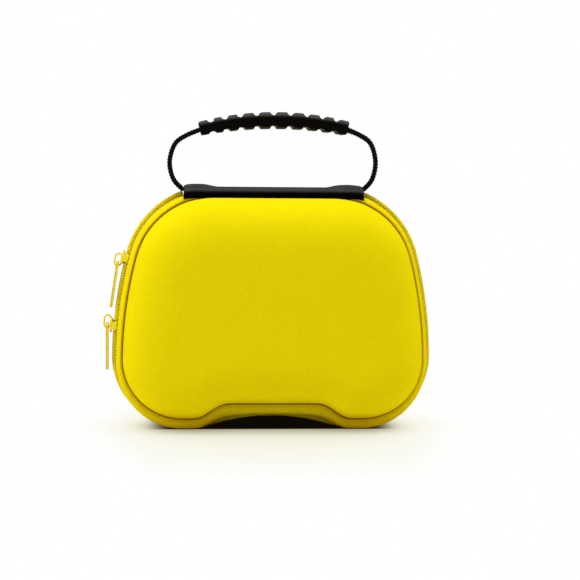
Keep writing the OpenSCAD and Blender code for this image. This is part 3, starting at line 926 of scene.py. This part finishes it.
def teeth(phase):
    """Nylon teeth: rounded slanting bars across the zip line that reach a little over it between the others,
    on the cord that they are wound round."""
    cord = [(COIL_H * a, y, 0, 0) for a, y in (
        (0.98, 0.25), (0.7, 0.15), (0.25, 0.3), (0.14, 0.9), (0.12, 1.8), (0.25, 2.45), (0.7, 2.6), (0.98, 2.5))]
    parts = [loft([[on_case(s, p) for p in cord] for s in along_rim(TEETH_D, 2)])]
    for j in range(round((RIM_L - 2 * TEETH_D) / TOOTH_PITCH)):
        s = station(TEETH_D + (j + 0.5 + phase) * TOOTH_PITCH)
        along = Vector((s[3], 0, -s[2]))
        rows = []
        for y, w, h in ((-TOOTH_REACH, 0.55, 0.5), (-TOOTH_REACH + 0.15, 1, 0.85), (0.2, 1.15, 1),
                        (1.2, 0.8, 0.94), (COIL_Y - 0.5, 0.85, 0.9), (COIL_Y - 0.15, 0.8, 0.75), (COIL_Y, 0.5, 0.4)):
            middle = Vector(on_case(s, (COIL_H / 2, y, 0, 0)))
            rows.append([
                tuple(middle + along * (TOOTH_W / 2 * w * math.cos(a) + TOOTH_SLANT * y)
                      - Vector((s[2], 0, s[3])) * (COIL_H / 2 * h * math.sin(a)))
                for a in turns(8)
            ])
        parts.append(loft(rows))
    return joined(parts)


for side, body, mirror in SIDES:
    piece(f"{side}_tape", sided(tape_part, mirror), body, "zip_tape", f"{side}_zip_tape", uv=tape_uv)
    piece(f"{side}_teeth", sided(teeth(0.5 if mirror else 0), mirror), body, "zip_teeth", f"{side}_zip_coil")
    piece(f"{side}_binding_tape", sided(binding_part, mirror), body, "lining_binding", f"{side}_binding",
          uv=binding_uv)


# Spine: folded black fabric over both lips, raised over the sewn ends of the webbing
SPINE_HALF = SPINE_L / 2
SPINE_IN = LIP_SINK - SEAT
RAISED_IN = SPINE_IN - TONGUE_T - 0.2
RAISED_OUT = RAISED_IN - SPINE_T


def top_station(x):
    if abs(x) <= SHOULDER_X:
        return x, RIM_H, 0, -1
    a = math.acos((abs(x) - SHOULDER_X) / SHOULDER_R)
    side = math.copysign(1, x)
    return x, SHOULDER_Z + SHOULDER_R * math.sin(a), -side * math.cos(a), -math.sin(a)


def end_lift(x):
    """The pull of the webbing holds the spine up at its ends, where the rim falls away."""
    return END_LIFT * smooth((abs(x) - END_LIFT_X) / (SPINE_HALF - END_LIFT_X))


def raise_share(x, y):
    return smooth((abs(x) - SPINE_HALF + TONGUE_L + RAISE_RUN) / RAISE_RUN) * smooth((STRAP_W / 2 + 4 - abs(y)) / 3)


# Points of the spine's section: depth, distance from the zip plane, and share of the groove's dip
spine_outer = [
    (GROOVE_SINK - 0.6, GROOVE_Y + 0.65, 1), (GROOVE_SINK - 1.8, GROOVE_Y + 0.5, 0.8),
    (LIP_BACK[0] - 1.5, LIP_BACK[1] + 0.4, 0.3), (LIP_FOOT[0] - 1.5, 10, 0),
    (SPINE_IN - SPINE_T, 6, 0), (SPINE_IN - SPINE_T, 0, 0),
]
spine_inner = [
    (GROOVE_SINK - 0.6, GROOVE_Y - 0.15, 1), (GROOVE_SINK - 1.5, GROOVE_Y - 0.45, 0.85),
    (LIP_BACK[0] - 0.4, LIP_BACK[1] + 0.1, 0.5), (LIP_FOOT[0] - 0.3, 10, 0.1),
    (SPINE_IN, 6, 0), (SPINE_IN, 0, 0),
]


def both_sides(half):
    return [(p[0], -p[1], p[2]) for p in half] + half[-2::-1]


def spine_point(x, p, depth):
    """A point of the spine whose ends are cut upright, with its edges a little higher at the ends."""
    sink = p[0] + (depth - p[0]) * raise_share(x, p[1])
    sink -= 0.8 * p[2] * smooth((abs(x) - 36) / 14) + (1 - p[2]) * end_lift(x)
    past = abs(x) - SHOULDER_X
    foot_x = math.copysign(SHOULDER_X + past / (1 - sink / SHOULDER_R), x) if past > 0 else x
    return on_case(top_station(foot_x), (sink, p[1], 0, p[2]))


def spine_part():
    faces_out = spaced(through(both_sides(spine_outer), 6), 0.7)
    faces_in = spaced(through(both_sides(spine_inner), 6), 0.7)[::-1]
    rows = []
    for x in (-SPINE_HALF + SPINE_L * j / 160 for j in range(161)):
        fold = math.sqrt(max(0.0, 1 - max(0.0, (abs(x) - SPINE_HALF + FOLD_R) / FOLD_R) ** 2))
        outer = [spine_point(x, p, RAISED_OUT) for p in faces_out]
        inner = [spine_point(x, p, RAISED_IN) for p in faces_in]
        rows.append([lerp(lerp(a, b, 0.5), a, 0.4 + 0.6 * fold) for own, other in ((outer, inner), (inner, outer))
                     for a, b in zip(own, nearest(own, other))])
    return loft(rows)


def nearest(points, others):
    """For each point, its opposite on the other face, which runs the other way."""
    m = len(others)
    return [others[round((len(points) - 1 - i) / (len(points) - 1) * (m - 1))] for i in range(len(points))]


spine = piece("spine_cover", spine_part(), None, "spine_fabric", "hinge_spine", crease=50)
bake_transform(spine)


def spine_line(x0, x1, y0, y1, n):
    """A line on the spine's outer face with its normals."""
    profile = through(both_sides(spine_outer), 6)
    line = []
    for j in range(n + 1):
        x, y = x0 + (x1 - x0) * j / n, y0 + (y1 - y0) * j / n
        p, slope = crossing(profile, y)
        line.append((spine_point(x, p, RAISED_OUT), out_of(top_station(x), slope)))
    return line


seam_x, seam_y = SPINE_HALF - 2, LIP_BACK[1] - 1.2
box_x = SPINE_HALF - TONGUE_L + 1
seams = [spine_line(-seam_x, seam_x, y, y, 120) for y in (-seam_y, seam_y)]
for x in (-seam_x, seam_x, -box_x, box_x):
    seams += [spine_line(x, x, side * (BEND_Y + 0.6), side * 8.6, 12) for side in (-1, 1)]
for side in (-1, 1):
    rows = [stitch_row(line, STITCH_L, STITCH_R, STITCH_GAP) for line in seams if line[0][0][1] * side > 0]
    piece(f"{'back' if side > 0 else 'front'}_spine_stitches", joined(rows), "base" if side > 0 else "lid",
          "spine_fabric", materials=["black_thread"])


# Webbing: a sewn end under each end of the spine, and the loop between them
GRIP_CZ = GRIP_Z - GRIP_R
GRIP_A = math.asin(GRIP_REACH / GRIP_R)
GRIP_END = (GRIP_REACH, GRIP_CZ + GRIP_R * math.cos(GRIP_A))
TONGUE_SINK = SPINE_IN - TONGUE_T / 2


def tongue_point(x):
    s, sink = top_station(x), TONGUE_SINK - end_lift(x)
    return s[0] + sink * s[2], s[1] + sink * s[3]


free_points = [
    (SPINE_HALF + 0.16 * LOOP_BULGE, RIM_H - 0.16 * LOOP_RISE),
    (SPINE_HALF + 0.76 * LOOP_BULGE, RIM_H + 0.27 * LOOP_RISE), (SPINE_HALF + LOOP_BULGE, RIM_H + LOOP_RISE),
    (SPINE_HALF + 0.63 * LOOP_BULGE, (RIM_H + LOOP_RISE) * 0.45 + GRIP_END[1] * 0.55),
    ((SPINE_HALF + GRIP_REACH) / 2 + 3.4, GRIP_END[1] - STRAP_T - 0.4), GRIP_END,
]
root_points = [tongue_point(x) for x in (SPINE_HALF - TONGUE_L, SPINE_HALF - TONGUE_L / 2, SPINE_HALF - 0.5)]
right_loop = through(root_points + free_points, 8)
grip_arc = [
    (GRIP_R * math.sin(a), GRIP_CZ + GRIP_R * math.cos(a))
    for a in (GRIP_A * (1 - 2 * j / 24) for j in range(1, 24))
]
webbing_path = spaced(right_loop + grip_arc + [(-p[0], p[1]) for p in reversed(right_loop)], 0.28)


def leaning(x, y, z):
    """The handle stands a little higher on the right."""
    return x, y, z + HANDLE_LEAN * (x + GRIP_REACH) * smooth((z - RIM_H) / 24)


def webbing_part(path):
    """Ribbed webbing along a path. Its ribs run across it and show as teeth on its edges. The right side of the
    loop is a little twisted."""
    rows, uv = [], []
    for j, (p, d) in enumerate(zip(path, marks_of(path))):
        t = heading(path, j)
        free = smooth((abs(p[0]) - SPINE_HALF + 1) / 2.5) if p[1] < RIM_H else 1
        wave = abs(math.sin(math.pi * d / RIB_PITCH))
        half_t = (TONGUE_T + (STRAP_T - TONGUE_T) * free) / 2 - RIB_D * free * (1 - wave)
        half_w = STRAP_W / 2 - RIB_SIDE * (1 - wave)
        twist = TWIST * smooth((p[0] - GRIP_REACH) / 12) * free
        row = []
        for a in turns(20):
            across = half_w * squarish(math.cos(a), 0.35)
            out = half_t * squarish(math.sin(a), 0.45) - across * math.sin(twist)
            row.append(leaning(p[0] - t.y * out, across * math.cos(twist), p[1] + t.x * out))
            uv.append((d, across))
        rows.append(row)
    return loft(rows), uv


loop_path = [p for p in webbing_path if abs(p[0]) > SPINE_HALF - 2.5 or p[1] > RIM_H]
loop_part, loop_uv = webbing_part(loop_path)
piece("webbing_loop", loop_part, "handle", "webbing", "handle_webbing", uv=loop_uv)
for side, name in ((1, "right"), (-1, "left")):
    end_path = [p for p in webbing_path if p[1] < RIM_H and p[0] * side < SPINE_HALF - 2.2 and p[0] * side > 0]
    end_part, end_uv = webbing_part(end_path)
    end = piece(f"{name}_webbing_end", end_part, None, "webbing", uv=end_uv)
    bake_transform(end)


# Grip: a bowed rubber sleeve with ribs above and below and a slot for the webbing
def notch_depth(a, side):
    """How deep the notches cut at an angle on the bow, on the outer (1) or inner (-1) face."""
    r = GRIP_R + side * (GRIP_T / 2 - NOTCH_D + NOTCH_R)
    face = GRIP_R + side * GRIP_T / 2
    deepest = 0.0
    for j in range(1, RIBS):
        u = 2 * j / RIBS - 1
        off = (a - GRIP_A * u * (1.12 - 0.12 * u * u)) * face
        if abs(off) < NOTCH_R:
            cut = side * (face - r) + math.sqrt(NOTCH_R ** 2 - off ** 2)
            deepest = max(deepest, cut)
    return deepest * (1 if side > 0 else 1 - 0.45 * (a / GRIP_A) ** 2)


def grip_part():
    n = 220
    rows = []
    slot = [(x, y) for y, x in round_rect(STRAP_W + 2 * SEAT, STRAP_T + 2 * SEAT, 0.6, 3)]
    body = [(x, y) for y, x in round_rect(GRIP_W, GRIP_T, 3.4, 6, 1.6)]
    outline = []
    for a, b in zip(body, body[1:] + body[:1]):
        steps = max(1, round(math.dist(a, b) / 1.2))
        outline += [lerp(a, b, i / steps) for i in range(steps)]

    def place(a, out, y):
        r = GRIP_R + out
        return leaning(r * math.sin(a), y, GRIP_CZ + r * math.cos(a))

    for j in range(n + 1):
        a = GRIP_A * (2 * j / n - 1)
        near_end = max(0.0, (abs(a) - GRIP_A) * GRIP_R + GRIP_EDGE_R) / GRIP_EDGE_R
        shrink = GRIP_EDGE_R * (1 - math.sqrt(max(0.0, 1 - near_end ** 2)))
        taper = (a / GRIP_A) ** 2
        high = GRIP_T / 2 - notch_depth(a, 1) - shrink - 0.3 * taper
        low = GRIP_T / 2 - notch_depth(a, -1) - shrink - 1.3 * taper
        rows.append([
            place(a, max(-low, min(high, out)), y * (1 - shrink / (GRIP_W / 2))) for out, y in outline
        ])
    sleeve = loft(rows, caps=False)
    slot_n = 30
    hole = loft([[place(GRIP_A * (2 * j / slot_n - 1), out, y) for out, y in reversed(slot)]
                 for j in range(slot_n + 1)], caps=False)
    hole_start = len(sleeve[0])
    ends = [(range(a, a + len(outline)), range(b, b + len(slot)))
            for a, b in ((0, hole_start), (n * len(outline), hole_start + slot_n * len(slot)))]
    return joined([sleeve, hole]), ends


grip_mesh, grip_ends = grip_part()


def close_grip(form):
    """Closes each end face between the sleeve's outline and its slot."""
    form.verts.ensure_lookup_table()
    for end in grip_ends:
        edges = [form.edges.get((form.verts[a], form.verts[b]))
                 for ring in end for a, b in zip(ring, [*ring[1:], ring[0]])]
        bmesh.ops.triangle_fill(form, edges=edges, use_beauty=True)


GRIP_CREASE = 35
grip = piece("grip_sleeve", grip_mesh, "handle", "grip_rubber", "handle_grip", crease=GRIP_CREASE)
settle(grip.data, GRIP_CREASE, close_grip)


# Sliders and pull tabs, drawn on the right with the zip line at x = 0 and the mouth at the top
SLIDER_TOP = PLAY
FLOOR_W = SLIDER_W - 1.6
TAPE_RISE = (TAPE_SLOPE[0] - TAPE_TOP) * (FLOOR_W / 2 - 1) / (TAPE_Y - 1)
SLIDER_FLOOR = TAPE_TOP + TAPE_T + TAPE_RISE + PLAY
HOLE_IN = SLIDER_TOP + PLATE_T
HOLE_OUT = BRIDGE_H - LOOP_T
PIN_X = (HOLE_IN + HOLE_OUT) / 2 + 0.1


def pin_z(mouth):
    return mouth * BRIDGE_SHIFT - BRIDGE_L / 2 + LOOP_T + 0.3 + PIN_R


def slab(outline, x0, x1, round_by):
    """A plate between x0 and x1 with rounded edges. The outline is in (y, z)."""
    rows = []
    steps = ((0, 1), (0.3, 0.3), (1, 0)) if round_by else ((0, 0),)
    size = max(abs(p[0]) for p in outline), max(abs(p[1]) for p in outline)
    for x, sign in ((x0, 1), (x1, -1)):
        part = []
        for along, shrink in steps:
            f = [(1 - round_by * shrink / s) for s in size]
            part.append([(x + sign * round_by * along, p[0] * f[0], p[1] * f[1]) for p in outline])
        rows += part if sign > 0 else part[::-1]
    return loft(rows)


def slider_part():
    plate, floor = [round_rect(w, SLIDER_L, 2.2, 8) for w in (SLIDER_W, FLOOR_W)]
    half_l = BRIDGE_L / 2 - LOOP_T / 2
    inner = (HOLE_IN - PLATE_T / 2 + LOOP_T / 2, BRIDGE_H - LOOP_T / 2)
    ring = [(sum(inner) / 2 + x, BRIDGE_SHIFT + z)
            for x, z in round_rect(inner[1] - inner[0], 2 * half_l, min(2.1, (inner[1] - inner[0]) / 2 - 0.05), 8)]
    rows = []
    for j, (x, z) in enumerate(ring):
        t = heading(ring, j, True)
        rows.append([
            (x + t.y * LOOP_T / 2 * squarish(math.cos(a), 0.8), BRIDGE_W / 2 * squarish(math.sin(a), 0.6),
             z - t.x * LOOP_T / 2 * squarish(math.cos(a), 0.8))
            for a in turns(12)
        ])
    post = slab([(y, z + SLIDER_L / 2 - 1.5) for y, z in round_rect(0.6, 1.8, 0.25, 3)],
                -SLIDER_FLOOR - 0.1, SLIDER_TOP + 0.1, 0)
    flange = round_rect(FLANGE_T, SLIDER_L - 3.4, 0.35, 3)
    sides = [slab([(y + side * (SLIDER_W - FLANGE_T) / 2, z) for y, z in flange], -FLANGE_H, SLIDER_TOP + 0.3, 0)
             for side in (-1, 1)]
    return joined(sides + [
        slab(plate, SLIDER_TOP, SLIDER_TOP + PLATE_T, 0.45),
        slab(floor, -SLIDER_FLOOR - FLOOR_T, -SLIDER_FLOOR, 0.3),
        loft(rows, along=True),
        post,
    ])


def pull_part():
    """A blade with a slot at its top, whose two arms hold the cross pin beside the bridge."""
    slot_l = BRIDGE_L - 1.4
    arm_in = BRIDGE_W / 2 + PLAY
    top, bottom, half = PIN_R, PIN_R - PULL_L, PULL_W / 2

    def corner(cy, cz, r, a0, a1, n=6):
        return [(cy + r * math.cos(a * DEGREE), cz + r * math.sin(a * DEGREE))
                for a in (a0 + (a1 - a0) * i / n for i in range(n + 1))]

    outline = (
        corner(arm_in + 0.7, top - 0.7, 0.7, 180, 90) + corner(half - 1, top - 1, 1, 90, 0)
        + corner(half - 1.4, bottom + 1.4, 1.4, 0, -90) + corner(-half + 1.4, bottom + 1.4, 1.4, 270, 180)
        + corner(-half + 1, top - 1, 1, 180, 90) + corner(-arm_in - 0.7, top - 0.7, 0.7, 90, 0)
        + corner(-arm_in + 0.9, -slot_l + 0.9, -0.9, 0, 90) + corner(arm_in - 0.9, -slot_l + 0.9, -0.9, 90, 180)
    )
    edge = ((0, 0.35), (0.12, 0.12), (0.35, 0))
    levels = [(depth - PULL_T / 2, inset) for depth, inset in edge]
    levels += [(PULL_T / 2 - depth, inset) for depth, inset in edge[::-1]]
    headings = [heading(outline, j, True) for j in range(len(outline))]
    blade = loft([[(x, y - t.y * inset, z + t.x * inset) for (y, z), t in zip(outline, headings)]
                  for x, inset in levels])
    pin = rod([(0, y, 0) for y in (-half + 0.5, -half + 0.7, 0, half - 0.7, half - 0.5)], (1, 0, 0), PIN_R, 14, 0.8)
    return joined([blade, pin])


def on_left(cx, cz, r, a):
    """The matrix to a place on the left of the zip line, at an angle on a circle round a centre."""
    return (Matrix.Scale(-1, 4, (1, 0, 0)) @ Matrix.Translation((cx, 0, cz))
            @ Matrix.Rotation(-a, 4, "Y") @ Matrix.Translation((r, 0, 0)))


LOW_A = math.asin((LOW_SLIDER_Z - WIDEST_Z) / SIDE_R)
HIGH_A = math.asin((HIGH_SLIDER_Z - SHOULDER_Z) / SHOULDER_R)
low_place = on_left(SIDE_X, WIDEST_Z, SIDE_R, LOW_A)
high_place = on_left(SHOULDER_X, SHOULDER_Z, SHOULDER_R, HIGH_A)
# The upper pull tab hangs with its tip a little outside the zip line.
BLADE_L = PULL_L - 2 * PIN_R
high_pin_x = SHOULDER_X + (SHOULDER_R + PIN_X) * math.cos(HIGH_A) - pin_z(-1) * math.sin(HIGH_A)
tip_z = SHOULDER_Z + (SHOULDER_R + PIN_X) * math.sin(HIGH_A) + pin_z(-1) * math.cos(HIGH_A) - BLADE_L
tip_x = SIDE_X + SIDE_R * math.cos(math.asin((tip_z - WIDEST_Z) / SIDE_R)) + HIGH_PULL_GAP + PULL_T / 2
HIGH_PULL_LEAN = math.asin((tip_x - high_pin_x) / BLADE_L)
slider, pull = slider_part(), pull_part()


def hung(place, mouth, lean):
    return place @ Matrix.Translation((PIN_X, 0, pin_z(mouth))) @ Matrix.Rotation(lean, 4, "Y")


for name, body, part, place in (
    ("lower_slider", "low_slider", slider, low_place),
    ("upper_slider", "high_slider", slider, high_place @ Matrix.Scale(-1, 4, (0, 0, 1))),
    ("lower_pull", "low_tab", pull, hung(low_place, 1, LOW_A)),
    ("upper_pull", "high_tab", pull, hung(high_place, -1, HIGH_A - HIGH_PULL_LEAN)),
):
    piece(f"{name}_casting", placed(part, place), body, "painted_slider", name, crease=30)


# Mesh pocket in the lid, from the binding inwards to its elastic hem
POCKET_EDGE = (BINDING_ROOT[0] + 1.9, BINDING_ROOT[1] + 0.6, BINDING_ROOT[2], 1)
POCKET_D = SHOULDER_X + SHOULDER_R * (QUARTER - SHOULDER_A) + SIDE_R * (SHOULDER_A - LOBE_A) / 5
pocket_stations = along_rim(POCKET_D, 1.8)
pocket_corner = on_case(pocket_stations[0], POCKET_EDGE)
POCKET_Z = pocket_corner[2] + POCKET_RISE
hem_half = pocket_corner[0] - HEM_INSET


def pocket_point(j, t, lift):
    s = pocket_stations[j]
    p = on_case(s, POCKET_EDGE)
    hem_x = hem_half * (1 - 2 * j / (len(pocket_stations) - 1))
    sag = 1 - (1 - min(1, math.hypot(hem_x - p[0], POCKET_Z - p[2]) * t / POCKET_SAG_RUN)) ** 2
    gathers = 0.25 * math.sin(hem_x * 0.9) * smooth((t - 0.75) / 0.25)
    return (p[0] + (hem_x - p[0]) * t, -(POCKET_EDGE[1] + (POCKET_Y - POCKET_EDGE[1]) * sag) + lift + gathers,
            p[2] + (POCKET_Z - p[2]) * t)


def pocket_part():
    rows = []
    for j in range(len(pocket_stations)):
        front = [pocket_point(j, i / 24, MESH_T) for i in range(25)]
        rows.append(front + [(x, y - MESH_T, z) for x, y, z in reversed(front)])
    area = sum(
        0.5 * (Vector(a[i]) - Vector(b[i + 1])).cross(Vector(b[i]) - Vector(a[i + 1])).length
        for a, b in zip(rows, rows[1:]) for i in range(24)
    )
    return loft(rows), area


net_part, net_area = pocket_part()
net = piece("pocket_net", net_part, "lid", "pocket_mesh", "mesh_pocket", crease=60)
hem_path = spaced([
    (x, y, z + HEM_D / 2 + SEAT) for x, y, z in (pocket_point(j, 1, MESH_T / 2) for j in range(len(pocket_stations)))
], 0.9)
hem_rows = []
for j, (x, y, z) in enumerate(hem_path):
    r = HEM_D / 2 * (0.97 if j % 3 else 0.85)
    hem_rows.append([(x, y + r * math.cos(a), z + r * math.sin(a)) for a in turns(12)])
hem = piece("hem_cord", loft(hem_rows), "lid", "elastic", "pocket_hem", crease=60)
net_w, net_l = 2 * pocket_corner[0], POCKET_Z - WAIST_Z + 2 * (POCKET_Y - POCKET_EDGE[1])
net_w * MM
net_l * MM
net_area * MM * MM


# Hold-down straps on the lining of the base, one end sewn down, closed with hook and loop
LINING_Y = CASE_D / 2 - WALL - CROWN - SEAT
LAP = PATCH_L / 2 + 4
HOLD_REACH = CASE_W / 2 - DOME_SINK - DOME_RUN - WALL - HOLD_INSET
SEWN_L = 8
LOOP_Y = LINING_Y - HOLD_T
HOOK_Y = LOOP_Y - PATCH_T


def ribbon(path, width, z):
    """A flat strap along a path in the xy plane, standing on its edge, with rounded edges."""
    rows = []
    for j, p in enumerate(path):
        t = heading(path, j)
        rows.append([(p[0] - t.y * out, p[1] + t.x * out, z + high)
                     for high, out in round_rect(width, HOLD_T, HOLD_T * 0.45, 3)])
    return loft(rows)


for name, side, y in (("left", -1, LINING_Y), ("right", 1, HOOK_Y - PATCH_T)):
    bend = [(HOLD_REACH, LINING_Y), (HOLD_REACH - SEWN_L / 2, LINING_Y), (HOLD_REACH - SEWN_L, LINING_Y),
            (LAP + 1, y), (LAP - 6, y), (0, y), (-LAP, y)]
    path = spaced(through([(side * px, py - HOLD_T / 2) for px, py in bend], 6), 1.2)
    piece(f"{name}_hold_strap", ribbon(path, HOLD_W, HOLD_Z), "base", "elastic", f"hold_strap_{name}", crease=50)
    rows = [[((side * (HOLD_REACH - inset), LINING_Y - HOLD_T, HOLD_Z + h), (0, -1, 0)) for h in (-10.5, 10.5)]
            for inset in (2, 5)]
    piece(f"{name}_strap_stitches", joined([stitch_row(row, 2, 0.2, STITCH_GAP) for row in rows]), "base", "elastic",
          materials=["black_thread"])


def patch_part(y):
    points, faces = slab(round_rect(PATCH_L, HOLD_W - 3, 1.5, 5), -PATCH_T, 0, 0.2)
    return [(p[1], y + p[0], HOLD_Z + p[2]) for p in points], faces


piece("loop_tape", patch_part(LOOP_Y), "base", "hook_and_loop", "loop_patch")
piece("hook_tape", patch_part(HOOK_Y), "base", "hook_and_loop", "hook_patch")


# Floor and backdrop, lights and camera
def floor_paint(at):
    """White paper with painted shadow: what the camera sees of it is darkened by how closed in it is, and painted
    black under the case.
    """
    x, y = at.parts(2)
    off = x.math("ABSOLUTE", x)
    bare = openness(at, 120, 20)
    closed = bare + off.limited(60, 100) * 0.2
    paper = closed.node("ValToRGB", {"stops": (
        (0.0, (0.25, 0.2, 0.12)), (0.35, (0.68, 0.65, 0.5)), (0.5, (0.85, 0.83, 0.68)), (0.72, (0.94, 0.93, 0.82)),
        (0.95, (0.98, 0.97, 0.93)), (1, (1, 1, 1)),
    )}, {"Fac": closed})
    # Painted shadow under the case: black for the camera, and a dark colour for the light that the floor passes on.
    under = y.limited(-13, -10.5) * (1 - bare.limited(0.55, 0.8)) * (1 - off.limited(56, 72))
    shade = under.colour(paper, (0.004, 0.003, 0.001))
    diffuse = at.node("BsdfDiffuse", (), {"Color": under.colour((0.8, 0.78, 0.68), (0.1, 0.08, 0.04))})
    paper = shade.node("Emission", (), {"Color": shade})
    seen = at.node("LightPath", out="Is Camera Ray")
    return seen.node("MixShader", (), {0: seen, 1: diffuse, 2: paper})


floor_mesh = bpy.data.meshes.new("floor")
FLOOR = 6.0
floor_mesh.from_pydata([(-FLOOR, -FLOOR, 0), (FLOOR, -FLOOR, 0), (FLOOR, FLOOR, 0), (-FLOOR, FLOOR, 0)], [],
                       [(0, 1, 2, 3)])
floor_mesh.materials.append(material("floor_paint", floor_paint))
floor = added("floor", floor_mesh)

world = bpy.data.worlds.new("studio")
bpy.context.scene.world = world
world.use_nodes = True
world.node_tree.nodes.clear()
air = Wire(world.node_tree)
camera_ray = air.node("LightPath", out="Is Camera Ray")
background = air.node("Background", (), {"Color": (1, 1, 1, 1), "Strength": camera_ray * 0.9 + 0.1})
background.node("OutputWorld", (), {"Surface": background})


def lamp(name, place, target, size, power):
    light = bpy.data.lights.new(name, "AREA")
    light.shape = "RECTANGLE"
    light.size, light.size_y = size
    light.energy = power
    made = added(name, light)
    made.location = place
    made.rotation_euler = (Vector(target) - Vector(place)).to_track_quat("-Z", "Y").to_euler()


lamp("top_light", (0, -0.2, 1.1), (0, 0, 0.1), (1.0, 0.7), 10.9)
lamp("left_light", (-0.9, -0.3, 0.4), (0, 0, 0.08), (0.5, 0.8), 5.8)
lamp("right_light", (0.9, -0.3, 0.4), (0, 0, 0.08), (0.5, 0.8), 4.0)


# The camera stands 0.9 m away, a little to the left and above, and aims so that the case falls where it is
# in the photograph's frame of 580 pixels.
FRAME_PX = 580
AZIMUTH, ELEVATION, ROLL = -3.2 * DEGREE, 5.5 * DEGREE, 0.5 * DEGREE
DISTANCE = 0.9
PX_PER_M = 1769
TARGET = Vector((0, 0, 0.065))
TARGET_PX = (272, 311.9)
away = Vector((math.sin(AZIMUTH) * math.cos(ELEVATION), -math.cos(AZIMUTH) * math.cos(ELEVATION),
               math.sin(ELEVATION)))
right = Vector((math.cos(AZIMUTH), math.sin(AZIMUTH), 0))
up = away.cross(right)
aim = TARGET + (right * (FRAME_PX / 2 - TARGET_PX[0]) + up * (TARGET_PX[1] - FRAME_PX / 2)) / PX_PER_M
lens = bpy.data.cameras.new("camera")
lens.sensor_width = 36
lens.lens = lens.sensor_width * PX_PER_M * DISTANCE / FRAME_PX
lens.clip_start, lens.clip_end = 0.05, 50
camera = added("camera", lens)
camera.location = TARGET + away * DISTANCE
turn = (aim - camera.location).to_track_quat("-Z", "Y").to_matrix() @ Matrix.Rotation(ROLL, 3, "Z")
camera.rotation_euler = turn.to_euler()
bpy.context.scene.camera = camera
bpy.context.scene.view_settings.view_transform = "Standard"
